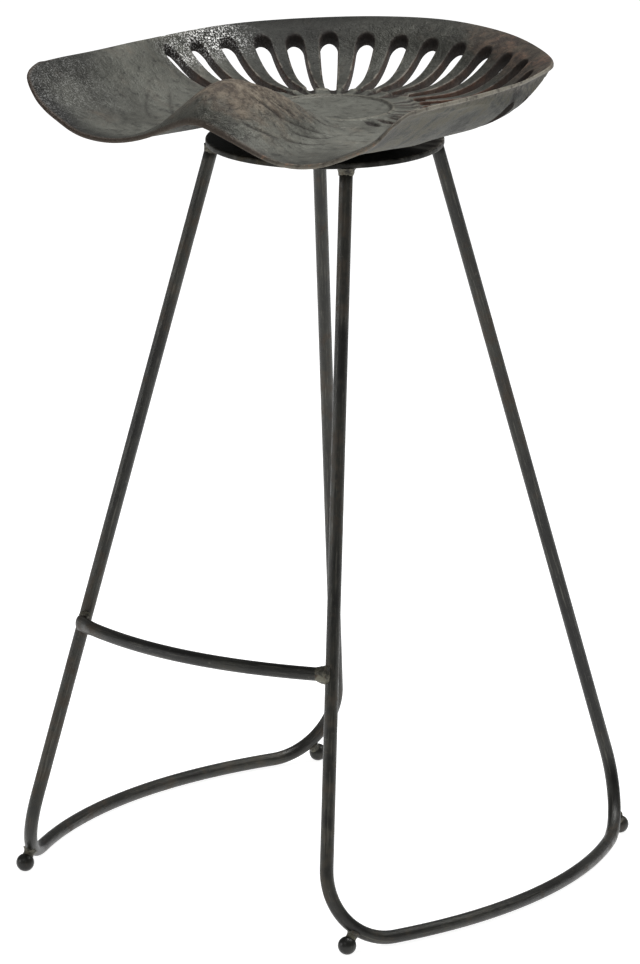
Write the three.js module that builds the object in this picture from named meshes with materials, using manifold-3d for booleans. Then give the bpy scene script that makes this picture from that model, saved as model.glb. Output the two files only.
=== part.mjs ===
// Tractor seat stool: a cast metal bucket seat with cooling slots that swivels on a
// round plate, welded on two bent rod leg frames. Millimetres, +Z up, the floor at zero.
// Front is -Y, where the footrest is; left and right are as seen from the front. The
// seat stands turned on its swivel by a few degrees.
import * as THREE from 'three';
import { mergeVertices } from 'three/addons/utils/BufferGeometryUtils.js';
import Module from 'manifold-3d';

// Clearances and cuts
const faceGap = 0.3;
const cutOverrun = 20;

// Round plate on top of the leg frames
const plateRadius = 110.3;
const plateThickness = 5;
const plateHeight = 690;
const plateEdgeRound = 1.2;

// Bent rod leg frames
const rodDiameter = 12.6;
const legTopInset = 6.9;
const frontLegAngle = THREE.MathUtils.degToRad(48.7);
const backLegAngle = THREE.MathUtils.degToRad(41.4);
const frontFootHalfWidth = 182.5;
const frontFootReach = 235;
const backFootHalfWidth = 173.7;
const backFootReach = 245.5;
const runnerHeight = 8;
const runnerBow = 48.9;
const bendRadius = 62.8;

// Ball feet below the bends
const ballRadius = 8.5;
const ballFlatDepth = 0.4;
const ballOffset = 17.5;
const footNeckRadius = 5.2;
const footNeckFlare = 1.6;

// Curved footrest between the front legs
const footrestHeight = 247.8;
const footrestBow = 29.8;
const footrestLapOffset = 9;
const footrestLapDrop = 2.1;
const footrestButtOffset = 2;
const footrestLapLength = 26;
const footrestLapOverhang = -2.4;
const footrestLapThickness = 9;
const footrestLapWidth = 15;

// Weld beads
const legWeldSpread = 4;
const legWeldHeight = 7;
const weldPlateOverhang = 1.5;
const footrestWeldSpread = 3.5;
const footrestWeldLength = 7;
const lapWeldRadius = 5.5;

// Swivel between the plate and the pan, from the plate up
const seatTurn = THREE.MathUtils.degToRad(5.9);
const swivelBaseRadius = 48;
const swivelPlateThickness = 3;
const bearingInnerRadius = 20;
const bearingOuterRadius = 30;
const bearingHeight = 4;
const swivelTopRadius = 76;
const pivotRadius = 6;
const pivotHeadRadius = 9;
const pivotHeadHeight = 2.4;
const pivotRecessRadius = 11;
const accessHoleRadius = 11;

// Seat pan casting, measured from the middle of its slot ring
const panSetback = 13;
const panFloorHeight = 720.7;
const panThickness = 9.2;
const frontRimThickness = 4.6;
const sideRimThickness = 8.6;
const seatHalfWidth = 199.4;
const seatBackReach = 207.3;
const seatFrontReach = 235.7;
const bowlDepth = 48.8;
const floorDiscRadius = 54;
const floorDiscDepth = 1.5;
const floorDiscStep = 2;
const columnSpacing = 20;
const rowSpacing = 18.5;

// Wall of the bowl: how high its shoulder stands, and how far the rim flares past it
const shoulderRise = 34.1;
const lobeFlare = 19.5;
const lobeShoulderShare = 0.84;
const wallRunShare = 0.42;
const wallBackPower = 2.6;
const wallSidePower = 2.4;
const wallFrontPower = 1.6;
const flareRoundingShare = 0.5;
const backThickeningShare = 1.6;
const sideThickeningShare = 1.25;
const lobeStart = -0.1;
const lobeFull = 0.6;
const thinningStart = 0.45;
const thinningFull = 0.8;
const lobeThinningShare = 0.55;
const flareRowShares = [0.35, 0.7, 1];

// Slots round the back of the bowl
const slotCount = 17;
const slotPitchAngle = THREE.MathUtils.degToRad(11);
const slotInnerRadius = 84;
const slotOuterRadius = 179;
const slotSideReach = 10;
const slotInnerWidth = 10.5;
const slotOuterWidth = 17;

// The slots were set out by eye: degrees that each one is turned, and how much longer it is
const slotDrifts = [0.6, 1, 1, 1.2, 0.3, 0, 0.5, 0.5, 0.2, 0, 0, 0, 0, 0, 0, 0, 0];
const slotStretches = [0, 0, 0, -1, -2, 0, 0, 0, 0, 0, 2, 2, 3, 0, 0, 0, 0];

// Raised nose between the sitter's legs
const noseHeight = 49.3;
const noseRun = 120;
const noseStart = 37;
const noseTop = 158;
const noseTopRun = 45;
const noseTopFallShare = 0.385;
const noseRearHalfWidth = 50;
const noseSpreadShare = 0.27;
const noseRisePower = 1.3;

// Half of the rim from back to front. Each point is a share of the half width, a share
// of the back or front reach, and a share of the bowl's depth above its floor.
const rimShares = [
  [0, 1, 0.955],
  [0.332, 0.948, 0.918],
  [0.628, 0.773, 0.887],
  [0.854, 0.542, 0.865],
  [0.944, 0.236, 0.912],
  [0.984, -0.099, 0.957],
  [0.992, -0.413, 1.023],
  [0.995, -0.667, 1.103],
  [1, -0.751, 1.115],
  [1, -0.811, 1.127],
  [0.98, -0.9, 0.984],
  [0.913, -0.933, 0.662],
  [0.838, -0.955, 0.467],
  [0.757, -0.969, 0.314],
  [0.685, -0.982, 0.199],
  [0.612, -0.993, 0.129],
  [0.522, -0.993, 0.088],
  [0.441, -0.982, 0.088],
  [0.348, -0.974, 0.15],
  [0.265, -0.971, 0.252],
  [0.176, -0.981, 0.404],
  [0, -1, 0.637],
];

// Bolts that hold the base of the swivel to the plate, and the pan to the swivel
const baseBoltCircleRadius = 38;
const seatBoltCircleRadius = 60;
const boltCount = 4;
const bossRadius = 11;
const boltDiameter = 6;
const boltHoleClearance = 0.4;
const boltHeadAcrossFlats = 10;
const boltHeadHeight = 3.6;
const seatBoltReach = 7;
const seatBoltHoleDepth = 8.4;
const washerOuterDiameter = 12.5;
const washerThickness = 1.6;
const washerClearance = 0.25;

// Facets
const rodSides = 12;
const roundSides = 16;
const plateSides = 60;
const ballRings = 8;
const bendSteps = 6;
const runnerSteps = 12;
const footrestSteps = 12;
const footrestLapSteps = 3;
const slotEndSteps = 6;

const rodRadius = rodDiameter / 2;
const boltHoleRadius = boltDiameter / 2 + boltHoleClearance;

// Heights of the swivel's faces, from the plate up
const plateTop = plateHeight + plateThickness;
const swivelBaseBottom = plateTop + faceGap;
const swivelBaseTop = swivelBaseBottom + swivelPlateThickness;
const bearingBottom = swivelBaseTop + faceGap;
const bearingTop = bearingBottom + bearingHeight;
const swivelTopBottom = bearingTop + faceGap;
const swivelTopTop = swivelTopBottom + swivelPlateThickness;
const bossBottom = swivelTopTop + faceGap;

const castIron = new THREE.MeshStandardMaterial({ color: 0x3d3a34, roughness: 0.55, metalness: 0.75 });
const darkSteel = new THREE.MeshStandardMaterial({ color: 0x262724, roughness: 0.5, metalness: 0.7 });
const weldMetal = new THREE.MeshStandardMaterial({ color: 0x4a3a30, roughness: 0.7, metalness: 0.6 });
const bearingPlastic = new THREE.MeshStandardMaterial({ color: 0xd8d4c8, roughness: 0.5, metalness: 0 });
const zincSteel = new THREE.MeshStandardMaterial({ color: 0x6d6f6e, roughness: 0.45, metalness: 0.85 });

const wasm = await Module();
wasm.setup();

// Turn a closed geometry into a solid that can be joined and cut
function solidOf(geometry) {
  const bare = geometry.index ? geometry.toNonIndexed() : geometry.clone();
  bare.deleteAttribute('normal');
  bare.deleteAttribute('uv');
  const merged = mergeVertices(bare);
  return new wasm.Manifold(new wasm.Mesh({
    numProp: 3,
    vertProperties: new Float32Array(merged.attributes.position.array),
    triVerts: new Uint32Array(merged.index.array),
  }));
}

function geometryOf(solid) {
  const mesh = solid.getMesh();
  const geometry = new THREE.BufferGeometry();
  geometry.setAttribute('position', new THREE.BufferAttribute(mesh.vertProperties, mesh.numProp));
  geometry.setIndex(new THREE.BufferAttribute(mesh.triVerts, 1));
  geometry.computeVertexNormals();
  return geometry;
}

function piece(name, geometry, material) {
  const mesh = new THREE.Mesh(geometry, material);
  mesh.name = name;
  return mesh;
}

// Upright lathe shape from [radius, height] pairs
function turned(profile, sides) {
  const points = profile.map(([radius, height]) => new THREE.Vector2(radius, height));
  return new THREE.LatheGeometry(points, sides).rotateX(Math.PI / 2);
}

// Point a shape modelled along +Z along a direction, and place its foot
function aim(geometry, place, direction) {
  const turn = new THREE.Quaternion().setFromUnitVectors(new THREE.Vector3(0, 0, 1), direction);
  return geometry.applyQuaternion(turn).translate(place.x, place.y, place.z);
}

// A block that fills everything above a height
function blockAbove(height, halfWidth, depth) {
  const block = new THREE.BoxGeometry(2 * halfWidth, 2 * halfWidth, depth);
  return solidOf(block.translate(0, 0, height + depth / 2));
}

// The line down the middle of a bent rod: straight, bent and bowed lengths, each with
// the steps that its shape needs.
class RodPath extends THREE.Curve {
  constructor(lengths) {
    super();
    this.stations = lengths.flatMap(({ curve, steps, from = 0, to = 1 }) =>
      Array.from({ length: steps }, (unused, step) => ({
        curve,
        from: THREE.MathUtils.lerp(from, to, step / steps),
        to: THREE.MathUtils.lerp(from, to, (step + 1) / steps),
      })));
  }

  locate(share) {
    const scaled = Math.min(Math.max(share, 0), 1) * this.stations.length;
    const index = Math.min(Math.floor(scaled), this.stations.length - 1);
    const { curve, from, to } = this.stations[index];
    return { curve, at: THREE.MathUtils.lerp(from, to, scaled - index) };
  }

  getPoint(share, target = new THREE.Vector3()) {
    const { curve, at } = this.locate(share);
    return curve.getPoint(at, target);
  }

  getPointAt(share, target) {
    return this.getPoint(share, target);
  }

  getTangentAt(share, target = new THREE.Vector3()) {
    const { curve, at } = this.locate(share);
    return curve.getTangent(at, target);
  }
}

function rodAlong(path, radius) {
  const section = new THREE.Shape().absarc(0, 0, radius, 0, 2 * Math.PI);
  return new THREE.ExtrudeGeometry(section, {
    steps: path.stations.length,
    curveSegments: rodSides / 2,
    extrudePath: path,
  });
}

// A round bend between two directions, through the points where it meets them
function bend(start, startDirection, end, endDirection, radius) {
  const turn = startDirection.angleTo(endDirection);
  const handle = (4 / 3) * Math.tan(turn / 4) * radius;
  const startHandle = start.clone().addScaledVector(startDirection, handle);
  const endHandle = end.clone().addScaledVector(endDirection, -handle);
  return new THREE.CubicBezierCurve3(start, startHandle, endHandle, end);
}

const legs = [
  { name: 'front', side: -1, end: -1 },
  { name: 'front', side: 1, end: -1 },
  { name: 'back', side: -1, end: 1 },
  { name: 'back', side: 1, end: 1 },
].map((leg) => ({ ...leg, label: `${leg.name}_${leg.side < 0 ? 'left' : 'right'}` }));

function legTop({ side, end }) {
  const angle = end < 0 ? frontLegAngle : backLegAngle;
  const radius = plateRadius - legTopInset;
  return new THREE.Vector3(side * radius * Math.sin(angle), end * radius * Math.cos(angle), plateHeight);
}

// Where the leg's line meets the runner's, outside the bend
function legCorner({ side, end }) {
  const halfWidth = end < 0 ? frontFootHalfWidth : backFootHalfWidth;
  const reach = end < 0 ? frontFootReach : backFootReach;
  return new THREE.Vector3(side * halfWidth, end * reach, runnerHeight);
}

function legDirection(leg) {
  return legCorner(leg).sub(legTop(leg)).normalize();
}

// The runner leaves the corner turned outward by the angle that its bow needs
function runnerDirection(leg) {
  const corner = legCorner(leg);
  const chord = legCorner({ ...leg, end: -leg.end }).sub(corner);
  const swing = 2 * Math.atan((2 * runnerBow) / chord.length());
  const sense = leg.side * leg.end;
  return chord.normalize().applyAxisAngle(new THREE.Vector3(0, 0, 1), sense * swing);
}

// Where the bend starts on the leg and ends on the runner, and the centre it turns about
function legBend(leg) {
  const down = legDirection(leg);
  const along = runnerDirection(leg);
  const corner = legCorner(leg);
  const cutback = bendRadius * Math.tan(down.angleTo(along) / 2);
  const start = corner.clone().addScaledVector(down, -cutback);
  const finish = corner.clone().addScaledVector(along, cutback);
  const inward = down.clone().negate().addScaledVector(along, down.dot(along)).normalize();
  const centre = finish.clone().addScaledVector(inward, bendRadius);
  return { down, along, start, finish, inward, centre };
}

// The leg's middle line at a height on its straight length
function legPointAt(leg, height) {
  const top = legTop(leg);
  const corner = legCorner(leg);
  return top.clone().lerp(corner, (top.z - height) / (top.z - corner.z));
}

function framePath(side) {
  const [front, back] = [-1, 1].map((end) => legs.find((leg) => leg.side === side && leg.end === end));
  const [bendFront, bendBack] = [legBend(front), legBend(back)];
  const [topFront, topBack] = [front, back].map((leg) =>
    legTop(leg).addScaledVector(legDirection(leg), -cutOverrun));
  const backAlong = bendBack.along.clone().negate();
  const chord = bendFront.finish.distanceTo(bendBack.finish);
  const swing = bendFront.along.angleTo(backAlong) / 2;
  const runnerRadius = chord / (2 * Math.sin(swing));
  return new RodPath([
    { curve: new THREE.LineCurve3(topFront, bendFront.start), steps: 1 },
    {
      curve: bend(bendFront.start, bendFront.down, bendFront.finish, bendFront.along, bendRadius),
      steps: bendSteps,
    },
    {
      curve: bend(bendFront.finish, bendFront.along, bendBack.finish, backAlong, runnerRadius),
      steps: runnerSteps,
    },
    {
      curve: bend(bendBack.finish, backAlong, bendBack.start, bendBack.down.clone().negate(), bendRadius),
      steps: bendSteps,
    },
    { curve: new THREE.LineCurve3(bendBack.start, topBack), steps: 1 },
  ]);
}

// One leg frame, grown by a clearance where it serves to cut its neighbours
function frameSolid(side, clearance = 0) {
  const rod = solidOf(rodAlong(framePath(side), rodRadius + clearance));
  const headroom = blockAbove(plateHeight - faceGap + clearance, 2 * plateRadius, 2 * cutOverrun);
  return rod.subtract(headroom);
}

const frames = { left: frameSolid(-1), right: frameSolid(1) };
const frameCutters = { left: frameSolid(-1, faceGap), right: frameSolid(1, faceGap) };
const sideOf = (leg) => (leg.side < 0 ? 'left' : 'right');

// Ball feet hang below the outside of each bend and stand on a small flat
function ballCentre(leg) {
  const { along, inward, centre } = legBend(leg);
  const reach = bendRadius + ballOffset;
  const drop = (centre.z - (ballRadius - ballFlatDepth)) / (reach * inward.z);
  const back = Math.sqrt(1 - drop * drop);
  return centre.clone().addScaledVector(inward, -reach * drop).addScaledVector(along, -reach * back);
}

function ballSolid(leg, clearance = 0) {
  const centre = ballCentre(leg);
  const radius = ballRadius + clearance;
  const flat = ballRadius - ballFlatDepth;
  const lowest = Math.acos(Math.min(flat / radius, 1));
  const arc = Array.from({ length: ballRings + 1 }, (unused, ring) => {
    const angle = THREE.MathUtils.lerp(lowest, Math.PI, ring / ballRings);
    return [radius * Math.sin(angle), -radius * Math.cos(angle)];
  });
  const profile = [[0, arc[0][1]], ...arc.slice(0, -1), [0, radius]];
  return solidOf(turned(profile, roundSides).translate(centre.x, centre.y, centre.z));
}

// The short weld neck between a bend and its ball
function footWeld(leg) {
  const centre = ballCentre(leg);
  const towardRod = legBend(leg).centre.sub(centre).normalize();
  const waist = (ballRadius + ballOffset - rodRadius) / 2;
  const profile = [
    [0, ballRadius / 2],
    [footNeckRadius, ballRadius / 2],
    [footNeckRadius, waist],
    [footNeckRadius + footNeckFlare, ballOffset - rodRadius],
    [footNeckRadius, ballOffset],
    [0, ballOffset],
  ];
  const neck = solidOf(aim(turned(profile, roundSides), centre, towardRod));
  return neck.subtract(ballSolid(leg, faceGap)).subtract(frameCutters[sideOf(leg)]);
}

// The weld round the top of a leg, under the plate
function legWeld(leg) {
  const top = legTop(leg).setZ(plateHeight - faceGap);
  const down = legDirection(leg);
  const profile = [
    [0, -legWeldSpread],
    [rodRadius + legWeldSpread, -legWeldSpread],
    [rodRadius + legWeldSpread, 0],
    [rodRadius + legWeldSpread / 2, legWeldHeight / 2],
    [rodRadius + faceGap, legWeldHeight],
    [0, legWeldHeight],
  ];
  const bead = solidOf(aim(turned(profile, roundSides), top, down));
  const headroom = blockAbove(plateHeight - faceGap, 2 * plateRadius, 2 * cutOverrun);
  const reachProfile = [
    [0, plateHeight - cutOverrun],
    [plateRadius + weldPlateOverhang, plateHeight - cutOverrun],
    [plateRadius + weldPlateOverhang, plateHeight],
    [0, plateHeight],
  ];
  const underPlate = solidOf(turned(reachProfile, plateSides));
  return bead.subtract(headroom).intersect(underPlate).subtract(frameCutters[sideOf(leg)]);
}

// The footrest's middle line, from its flattened lap on the left leg to its butt end
function footrestPath() {
  const [left, right] = legs.filter((leg) => leg.end < 0).map((leg) =>
    legPointAt(leg, leg.side < 0 ? footrestHeight - footrestLapDrop : footrestHeight));
  const lap = left.clone().setY(left.y - footrestLapOffset);
  const butt = right.clone().setY(right.y - footrestButtOffset);
  const crown = lap.clone().lerp(butt, 1 / 2).setY((lap.y + butt.y) / 2 - 2 * footrestBow);
  const slope = lap.clone().sub(crown).normalize();
  const tip = lap.clone().addScaledVector(slope, footrestLapOverhang);
  const curve = new THREE.QuadraticBezierCurve3(tip, crown, butt);
  const lapShare = footrestLapLength / tip.distanceTo(butt);
  return new RodPath([
    { curve, from: 0, to: lapShare, steps: footrestLapSteps },
    { curve, from: lapShare, to: 1, steps: footrestSteps },
  ]);
}

function footrestGeometry(clearance = 0) {
  const path = footrestPath();
  const geometry = rodAlong(path, rodRadius + clearance);
  const points = Array.from({ length: path.stations.length + 1 }, (unused, step) =>
    path.getPoint(step / path.stations.length));
  const position = geometry.attributes.position;
  const vertex = new THREE.Vector3();
  for (let index = 0; index < position.count; index += 1) {
    vertex.fromBufferAttribute(position, index);
    const middle = points.reduce((best, point) =>
      (point.distanceTo(vertex) < best.distanceTo(vertex) ? point : best));
    const fromTip = middle.distanceTo(points[0]);
    const flat = 1 - THREE.MathUtils.smoothstep(fromTip, footrestLapLength / 2, footrestLapLength);
    const thin = THREE.MathUtils.lerp(1, footrestLapThickness / rodDiameter, flat);
    const wide = THREE.MathUtils.lerp(1, footrestLapWidth / rodDiameter, flat);
    position.setXYZ(
      index,
      middle.x + (vertex.x - middle.x) * thin,
      middle.y + (vertex.y - middle.y) * thin,
      middle.z + (vertex.z - middle.z) * wide,
    );
  }
  return geometry;
}

const footrest = solidOf(footrestGeometry()).subtract(frameCutters.left).subtract(frameCutters.right);
const footrestSleeve = solidOf(footrestGeometry(faceGap));
const footrestCutter = footrestSleeve.add(footrestSleeve.translate([-faceGap, faceGap / 2, 0]));

// The flared fillet where the footrest butts against the right leg
function footrestButtWeld() {
  const path = footrestPath();
  const end = path.getPoint(1);
  const outward = path.getTangentAt(1);
  const profile = [
    [0, -rodRadius - footrestWeldLength],
    [rodRadius + faceGap, -rodRadius - footrestWeldLength],
    [rodRadius + footrestWeldSpread / 2, -rodRadius - footrestWeldLength / 3],
    [rodRadius + footrestWeldSpread, -rodRadius / 3],
    [0, -rodRadius / 3],
  ];
  const bead = solidOf(aim(turned(profile, roundSides), end, outward));
  return bead.subtract(footrestCutter).subtract(frameCutters.right);
}

// The small lump of weld in the upper corner between the flattened lap and the left leg
function footrestLapWeld() {
  const leg = legs.find(({ side, end }) => side < 0 && end < 0);
  const corner = legPointAt(leg, footrestHeight - footrestLapDrop + footrestLapWidth / 2);
  const lump = new THREE.SphereGeometry(lapWeldRadius, roundSides, ballRings);
  const bead = solidOf(lump.translate(corner.x + rodRadius / 2, corner.y - rodRadius, corner.z));
  return bead.subtract(footrestCutter).subtract(frameCutters.left);
}

// The outer edge of the seat, all the way round, back middle first
function rimCurve() {
  const place = ([across, along, rise], side) => new THREE.Vector3(
    side * across * seatHalfWidth,
    along * (along > 0 ? seatBackReach : seatFrontReach),
    rise * bowlDepth,
  );
  const right = rimShares.map((share) => place(share, 1));
  const left = rimShares.slice(1, -1).reverse().map((share) => place(share, -1));
  return new THREE.CatmullRomCurve3([...right, ...left], true, 'centripetal');
}

// Points on the rim, closer together where its control points are
function rimPoints() {
  const curve = rimCurve();
  const count = curve.points.length;
  return curve.points.flatMap((point, index) => {
    const next = curve.points[(index + 1) % count];
    const steps = Math.max(1, Math.round(point.distanceTo(next) / columnSpacing));
    return Array.from({ length: steps }, (unused, step) => curve.getPoint((index + step / steps) / count));
  });
}

// Height that the raised nose adds at a place on the seat
function noseRise(x, y) {
  const climb = THREE.MathUtils.clamp((-noseStart - y) / noseRun, 0, 1);
  const past = Math.max((-noseTop - y) / noseTopRun, 0);
  const crest = Math.sin((Math.PI / 2) * climb) ** noseRisePower * (1 - noseTopFallShare * past * past);
  const halfWidth = noseRearHalfWidth + noseSpreadShare * Math.max(-noseStart - y, 0);
  const across = Math.min(Math.abs(x) / halfWidth, 1);
  return noseHeight * crest * Math.cos((Math.PI / 2) * across) ** 2;
}

// How far out a slot ends, a little farther at the sides than at the back
function slotReach(toBack) {
  return slotOuterRadius + slotSideReach * (1 - Math.max(toBack, 0) ** 2);
}

// One spoke of the seat, from its middle out to a point of the rim
function spoke(rim) {
  const rimRadius = Math.hypot(rim.x, rim.y);
  const [dx, dy] = [rim.x / rimRadius, rim.y / rimRadius];
  const rimRise = rim.z - noseRise(rim.x, rim.y);
  const toSide = 1 - Math.max(dy, 0) ** 2;
  const toFront = THREE.MathUtils.smoothstep(-dy, lobeStart, lobeFull);
  const slotEnd = Math.min(slotReach(dy), rimRadius - frontRimThickness);
  const shoulderRadius = THREE.MathUtils.lerp(slotEnd, rimRadius - lobeFlare, toFront);
  const shoulder = THREE.MathUtils.lerp(shoulderRise, rimRise * lobeShoulderShare, toFront);
  const wallRun = shoulderRadius * wallRunShare;
  const slottedPower = THREE.MathUtils.lerp(wallBackPower, wallSidePower, toSide * (1 - toFront));
  const thinning = THREE.MathUtils.smoothstep(-dy, thinningStart, thinningFull);
  const wallPower = THREE.MathUtils.lerp(slottedPower, wallFrontPower, thinning);
  const rise = (radius) => {
    const nose = noseRise(radius * dx, radius * dy);
    if (radius > shoulderRadius) {
      const past = (radius - shoulderRadius) / (rimRadius - shoulderRadius);
      const rounded = past * (1 + flareRoundingShare * (1 - past));
      return THREE.MathUtils.lerp(shoulder, rimRise, rounded) + nose;
    }
    const up = Math.max(1 - (shoulderRadius - radius) / wallRun, 0);
    return shoulder * up ** wallPower + nose;
  };
  const thickness = panThickness * THREE.MathUtils.lerp(1, lobeThinningShare, thinning);
  const rimWall = THREE.MathUtils.lerp(sideRimThickness, frontRimThickness, thinning);
  const slottedThickening = THREE.MathUtils.lerp(backThickeningShare, sideThickeningShare, toSide);
  const thickening = THREE.MathUtils.lerp(slottedThickening, 1, toFront);
  return { dx, dy, rimRadius, shoulderRadius, rise, thickness, thickening, rimWall };
}

// Radii of the rows of points along one spoke
function rowRadii({ rimRadius, shoulderRadius }, rows) {
  const wall = Array.from({ length: rows }, (unused, row) =>
    THREE.MathUtils.lerp(slotInnerRadius, shoulderRadius, (row + 1) / rows));
  const flare = flareRowShares.map((share) => THREE.MathUtils.lerp(shoulderRadius, rimRadius, share));
  return [slotInnerRadius, ...wall, ...flare];
}

// The pan as a thin shell: a top skin with the shallow disc in its floor, and a skin
// below it, thicker where the wall is steep.
function panShell() {
  const spokes = rimPoints().map(spoke);
  const rows = Math.round((slotOuterRadius - slotInnerRadius) / rowSpacing);
  const slopeStep = frontRimThickness;
  const column = (line) => {
    const at = (radius, height) => [radius * line.dx, radius * line.dy, height];
    const radii = rowRadii(line, rows);
    const floor = [
      at(floorDiscRadius - floorDiscStep / 2, -floorDiscDepth),
      at(floorDiscRadius + floorDiscStep / 2, line.rise(floorDiscRadius)),
    ];
    const top = [...floor, ...radii.map((radius) => at(radius, line.rise(radius)))];
    const underside = (radius) => {
      const slope = (line.rise(radius) - line.rise(radius - slopeStep)) / slopeStep;
      const wall = line.thickness * Math.min(Math.hypot(1, slope), line.thickening);
      const toEdge = THREE.MathUtils.smoothstep(radius, line.shoulderRadius, line.rimRadius);
      return at(radius, line.rise(radius) - THREE.MathUtils.lerp(wall, line.rimWall, toEdge));
    };
    return [...top, ...radii.map(underside).reverse()];
  };
  const columns = spokes.map(column);
  const perColumn = columns[0].length;
  const positions = [0, 0, -floorDiscDepth, 0, 0, -panThickness, ...columns.flat(2)];
  const vertex = (index, row) => 2 + (index % columns.length) * perColumn + row;
  const faces = columns.flatMap((unused, index) => {
    const next = index + 1;
    const skin = Array.from({ length: perColumn - 1 }, (nothing, row) => [
      vertex(index, row), vertex(index, row + 1), vertex(next, row + 1),
      vertex(index, row), vertex(next, row + 1), vertex(next, row),
    ]).flat();
    const hub = [0, vertex(index, 0), vertex(next, 0)];
    const base = [1, vertex(next, perColumn - 1), vertex(index, perColumn - 1)];
    return [...skin, ...hub, ...base];
  });
  const geometry = new THREE.BufferGeometry();
  geometry.setAttribute('position', new THREE.BufferAttribute(new Float32Array(positions), 3));
  geometry.setIndex(faces.reverse());
  return geometry.translate(0, panSetback, panFloorHeight);
}

// One tapered slot with round ends, pointing out along +Y from the middle of the ring
function slotCutter(reach) {
  const [inner, outer] = [slotInnerWidth / 2, slotOuterWidth / 2];
  const points = [];
  for (let step = 0; step <= slotEndSteps; step += 1) {
    const angle = (Math.PI * step) / slotEndSteps;
    points.push(new THREE.Vector2(
      outer * Math.cos(angle),
      reach - outer + outer * Math.sin(angle),
    ));
  }
  for (let step = 0; step <= slotEndSteps; step += 1) {
    const angle = Math.PI + (Math.PI * step) / slotEndSteps;
    points.push(new THREE.Vector2(
      inner * Math.cos(angle),
      slotInnerRadius + inner + inner * Math.sin(angle),
    ));
  }
  const depth = bowlDepth + panThickness + 2 * cutOverrun;
  const cutter = new THREE.ExtrudeGeometry(new THREE.Shape(points), { depth, bevelEnabled: false });
  return cutter.translate(0, 0, -panThickness - cutOverrun);
}

// The places of one set of bolts, on the diagonals of the swivel's axis
function boltPlaces(circleRadius) {
  return Array.from({ length: boltCount }, (unused, index) => {
    const angle = (2 * Math.PI * (index + 1 / 2)) / boltCount;
    return new THREE.Vector2(circleRadius * Math.cos(angle), circleRadius * Math.sin(angle));
  });
}

// Drill a round hole, straight up and down, out of a solid
function drilled(solid, place, radius, low, high) {
  const profile = [[0, low], [radius, low], [radius, high], [0, high]];
  return solid.subtract(solidOf(turned(profile, roundSides).translate(place.x, place.y, 0)));
}

// A hole at each of a set of bolts, right through
function drilledForBolts(solid, circleRadius) {
  const [low, high] = [plateHeight - cutOverrun, swivelTopTop + cutOverrun];
  return boltPlaces(circleRadius).reduce(
    (drilledSolid, place) => drilled(drilledSolid, place, boltHoleRadius, low, high),
    solid,
  );
}

function seatPan() {
  let pan = solidOf(panShell());
  for (let slot = 0; slot < slotCount; slot += 1) {
    const drift = THREE.MathUtils.degToRad(slotDrifts[slot]);
    const angle = (slot - (slotCount - 1) / 2) * slotPitchAngle + drift;
    const cutter = slotCutter(slotReach(Math.cos(angle)) + slotStretches[slot]).rotateZ(-angle);
    pan = pan.subtract(solidOf(cutter.translate(0, panSetback, panFloorHeight)));
  }
  const bossTop = panFloorHeight - panThickness / 2;
  const bossProfile = [[0, bossBottom], [bossRadius, bossBottom], [bossRadius, bossTop], [0, bossTop]];
  for (const place of boltPlaces(seatBoltCircleRadius)) {
    pan = pan.add(solidOf(turned(bossProfile, roundSides).translate(place.x, place.y, 0)));
    pan = drilled(pan, place, boltHoleRadius, bossBottom - cutOverrun, bossBottom + seatBoltHoleDepth);
  }
  return pan;
}

// The plate, with its edges rounded, holes for the base's bolts, a recess for the pivot's
// lower head and one hole that lets a key reach each seat bolt as the seat is turned.
function mountingPlate() {
  const profile = [
    [0, plateHeight],
    [plateRadius - plateEdgeRound, plateHeight],
    [plateRadius, plateHeight + plateEdgeRound],
    [plateRadius, plateTop - plateEdgeRound],
    [plateRadius - plateEdgeRound, plateTop],
    [0, plateTop],
  ];
  const [low, high] = [plateHeight - cutOverrun, plateTop + cutOverrun];
  const bolted = drilledForBolts(solidOf(turned(profile, plateSides)), baseBoltCircleRadius);
  const recessed = drilled(bolted, new THREE.Vector2(0, 0), pivotRecessRadius, low, high);
  return drilled(recessed, new THREE.Vector2(0, seatBoltCircleRadius), accessHoleRadius, low, high);
}

// A flat ring standing upright between two heights
function ring(inner, outer, low, high, sides) {
  return turned([[inner, low], [outer, low], [outer, high], [inner, high], [inner, low]], sides);
}

function swivelBase() {
  const disc = ring(pivotRadius + faceGap, swivelBaseRadius, swivelBaseBottom, swivelBaseTop, 2 * roundSides);
  return drilledForBolts(solidOf(disc), baseBoltCircleRadius);
}

function swivelTop() {
  const disc = ring(pivotRadius + faceGap, swivelTopRadius, swivelTopBottom, swivelTopTop, 2 * roundSides);
  return drilledForBolts(solidOf(disc), seatBoltCircleRadius);
}

// The rivet that holds the swivel together, headed at both ends
function swivelPivot() {
  const [lowerHeadTop, upperHeadBottom] = [swivelBaseBottom - faceGap, swivelTopTop + faceGap];
  const profile = [
    [0, lowerHeadTop - pivotHeadHeight],
    [pivotHeadRadius, lowerHeadTop - pivotHeadHeight],
    [pivotHeadRadius, lowerHeadTop],
    [pivotRadius, lowerHeadTop],
    [pivotRadius, upperHeadBottom],
    [pivotHeadRadius, upperHeadBottom],
    [pivotHeadRadius, upperHeadBottom + pivotHeadHeight],
    [0, upperHeadBottom + pivotHeadHeight],
  ];
  return turned(profile, roundSides);
}

// A washer pressed against the face above it
function washer(faceHeight) {
  const top = faceHeight - faceGap;
  const bore = boltDiameter / 2 + washerClearance;
  return ring(bore, washerOuterDiameter / 2, top - washerThickness, top, roundSides);
}

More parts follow.
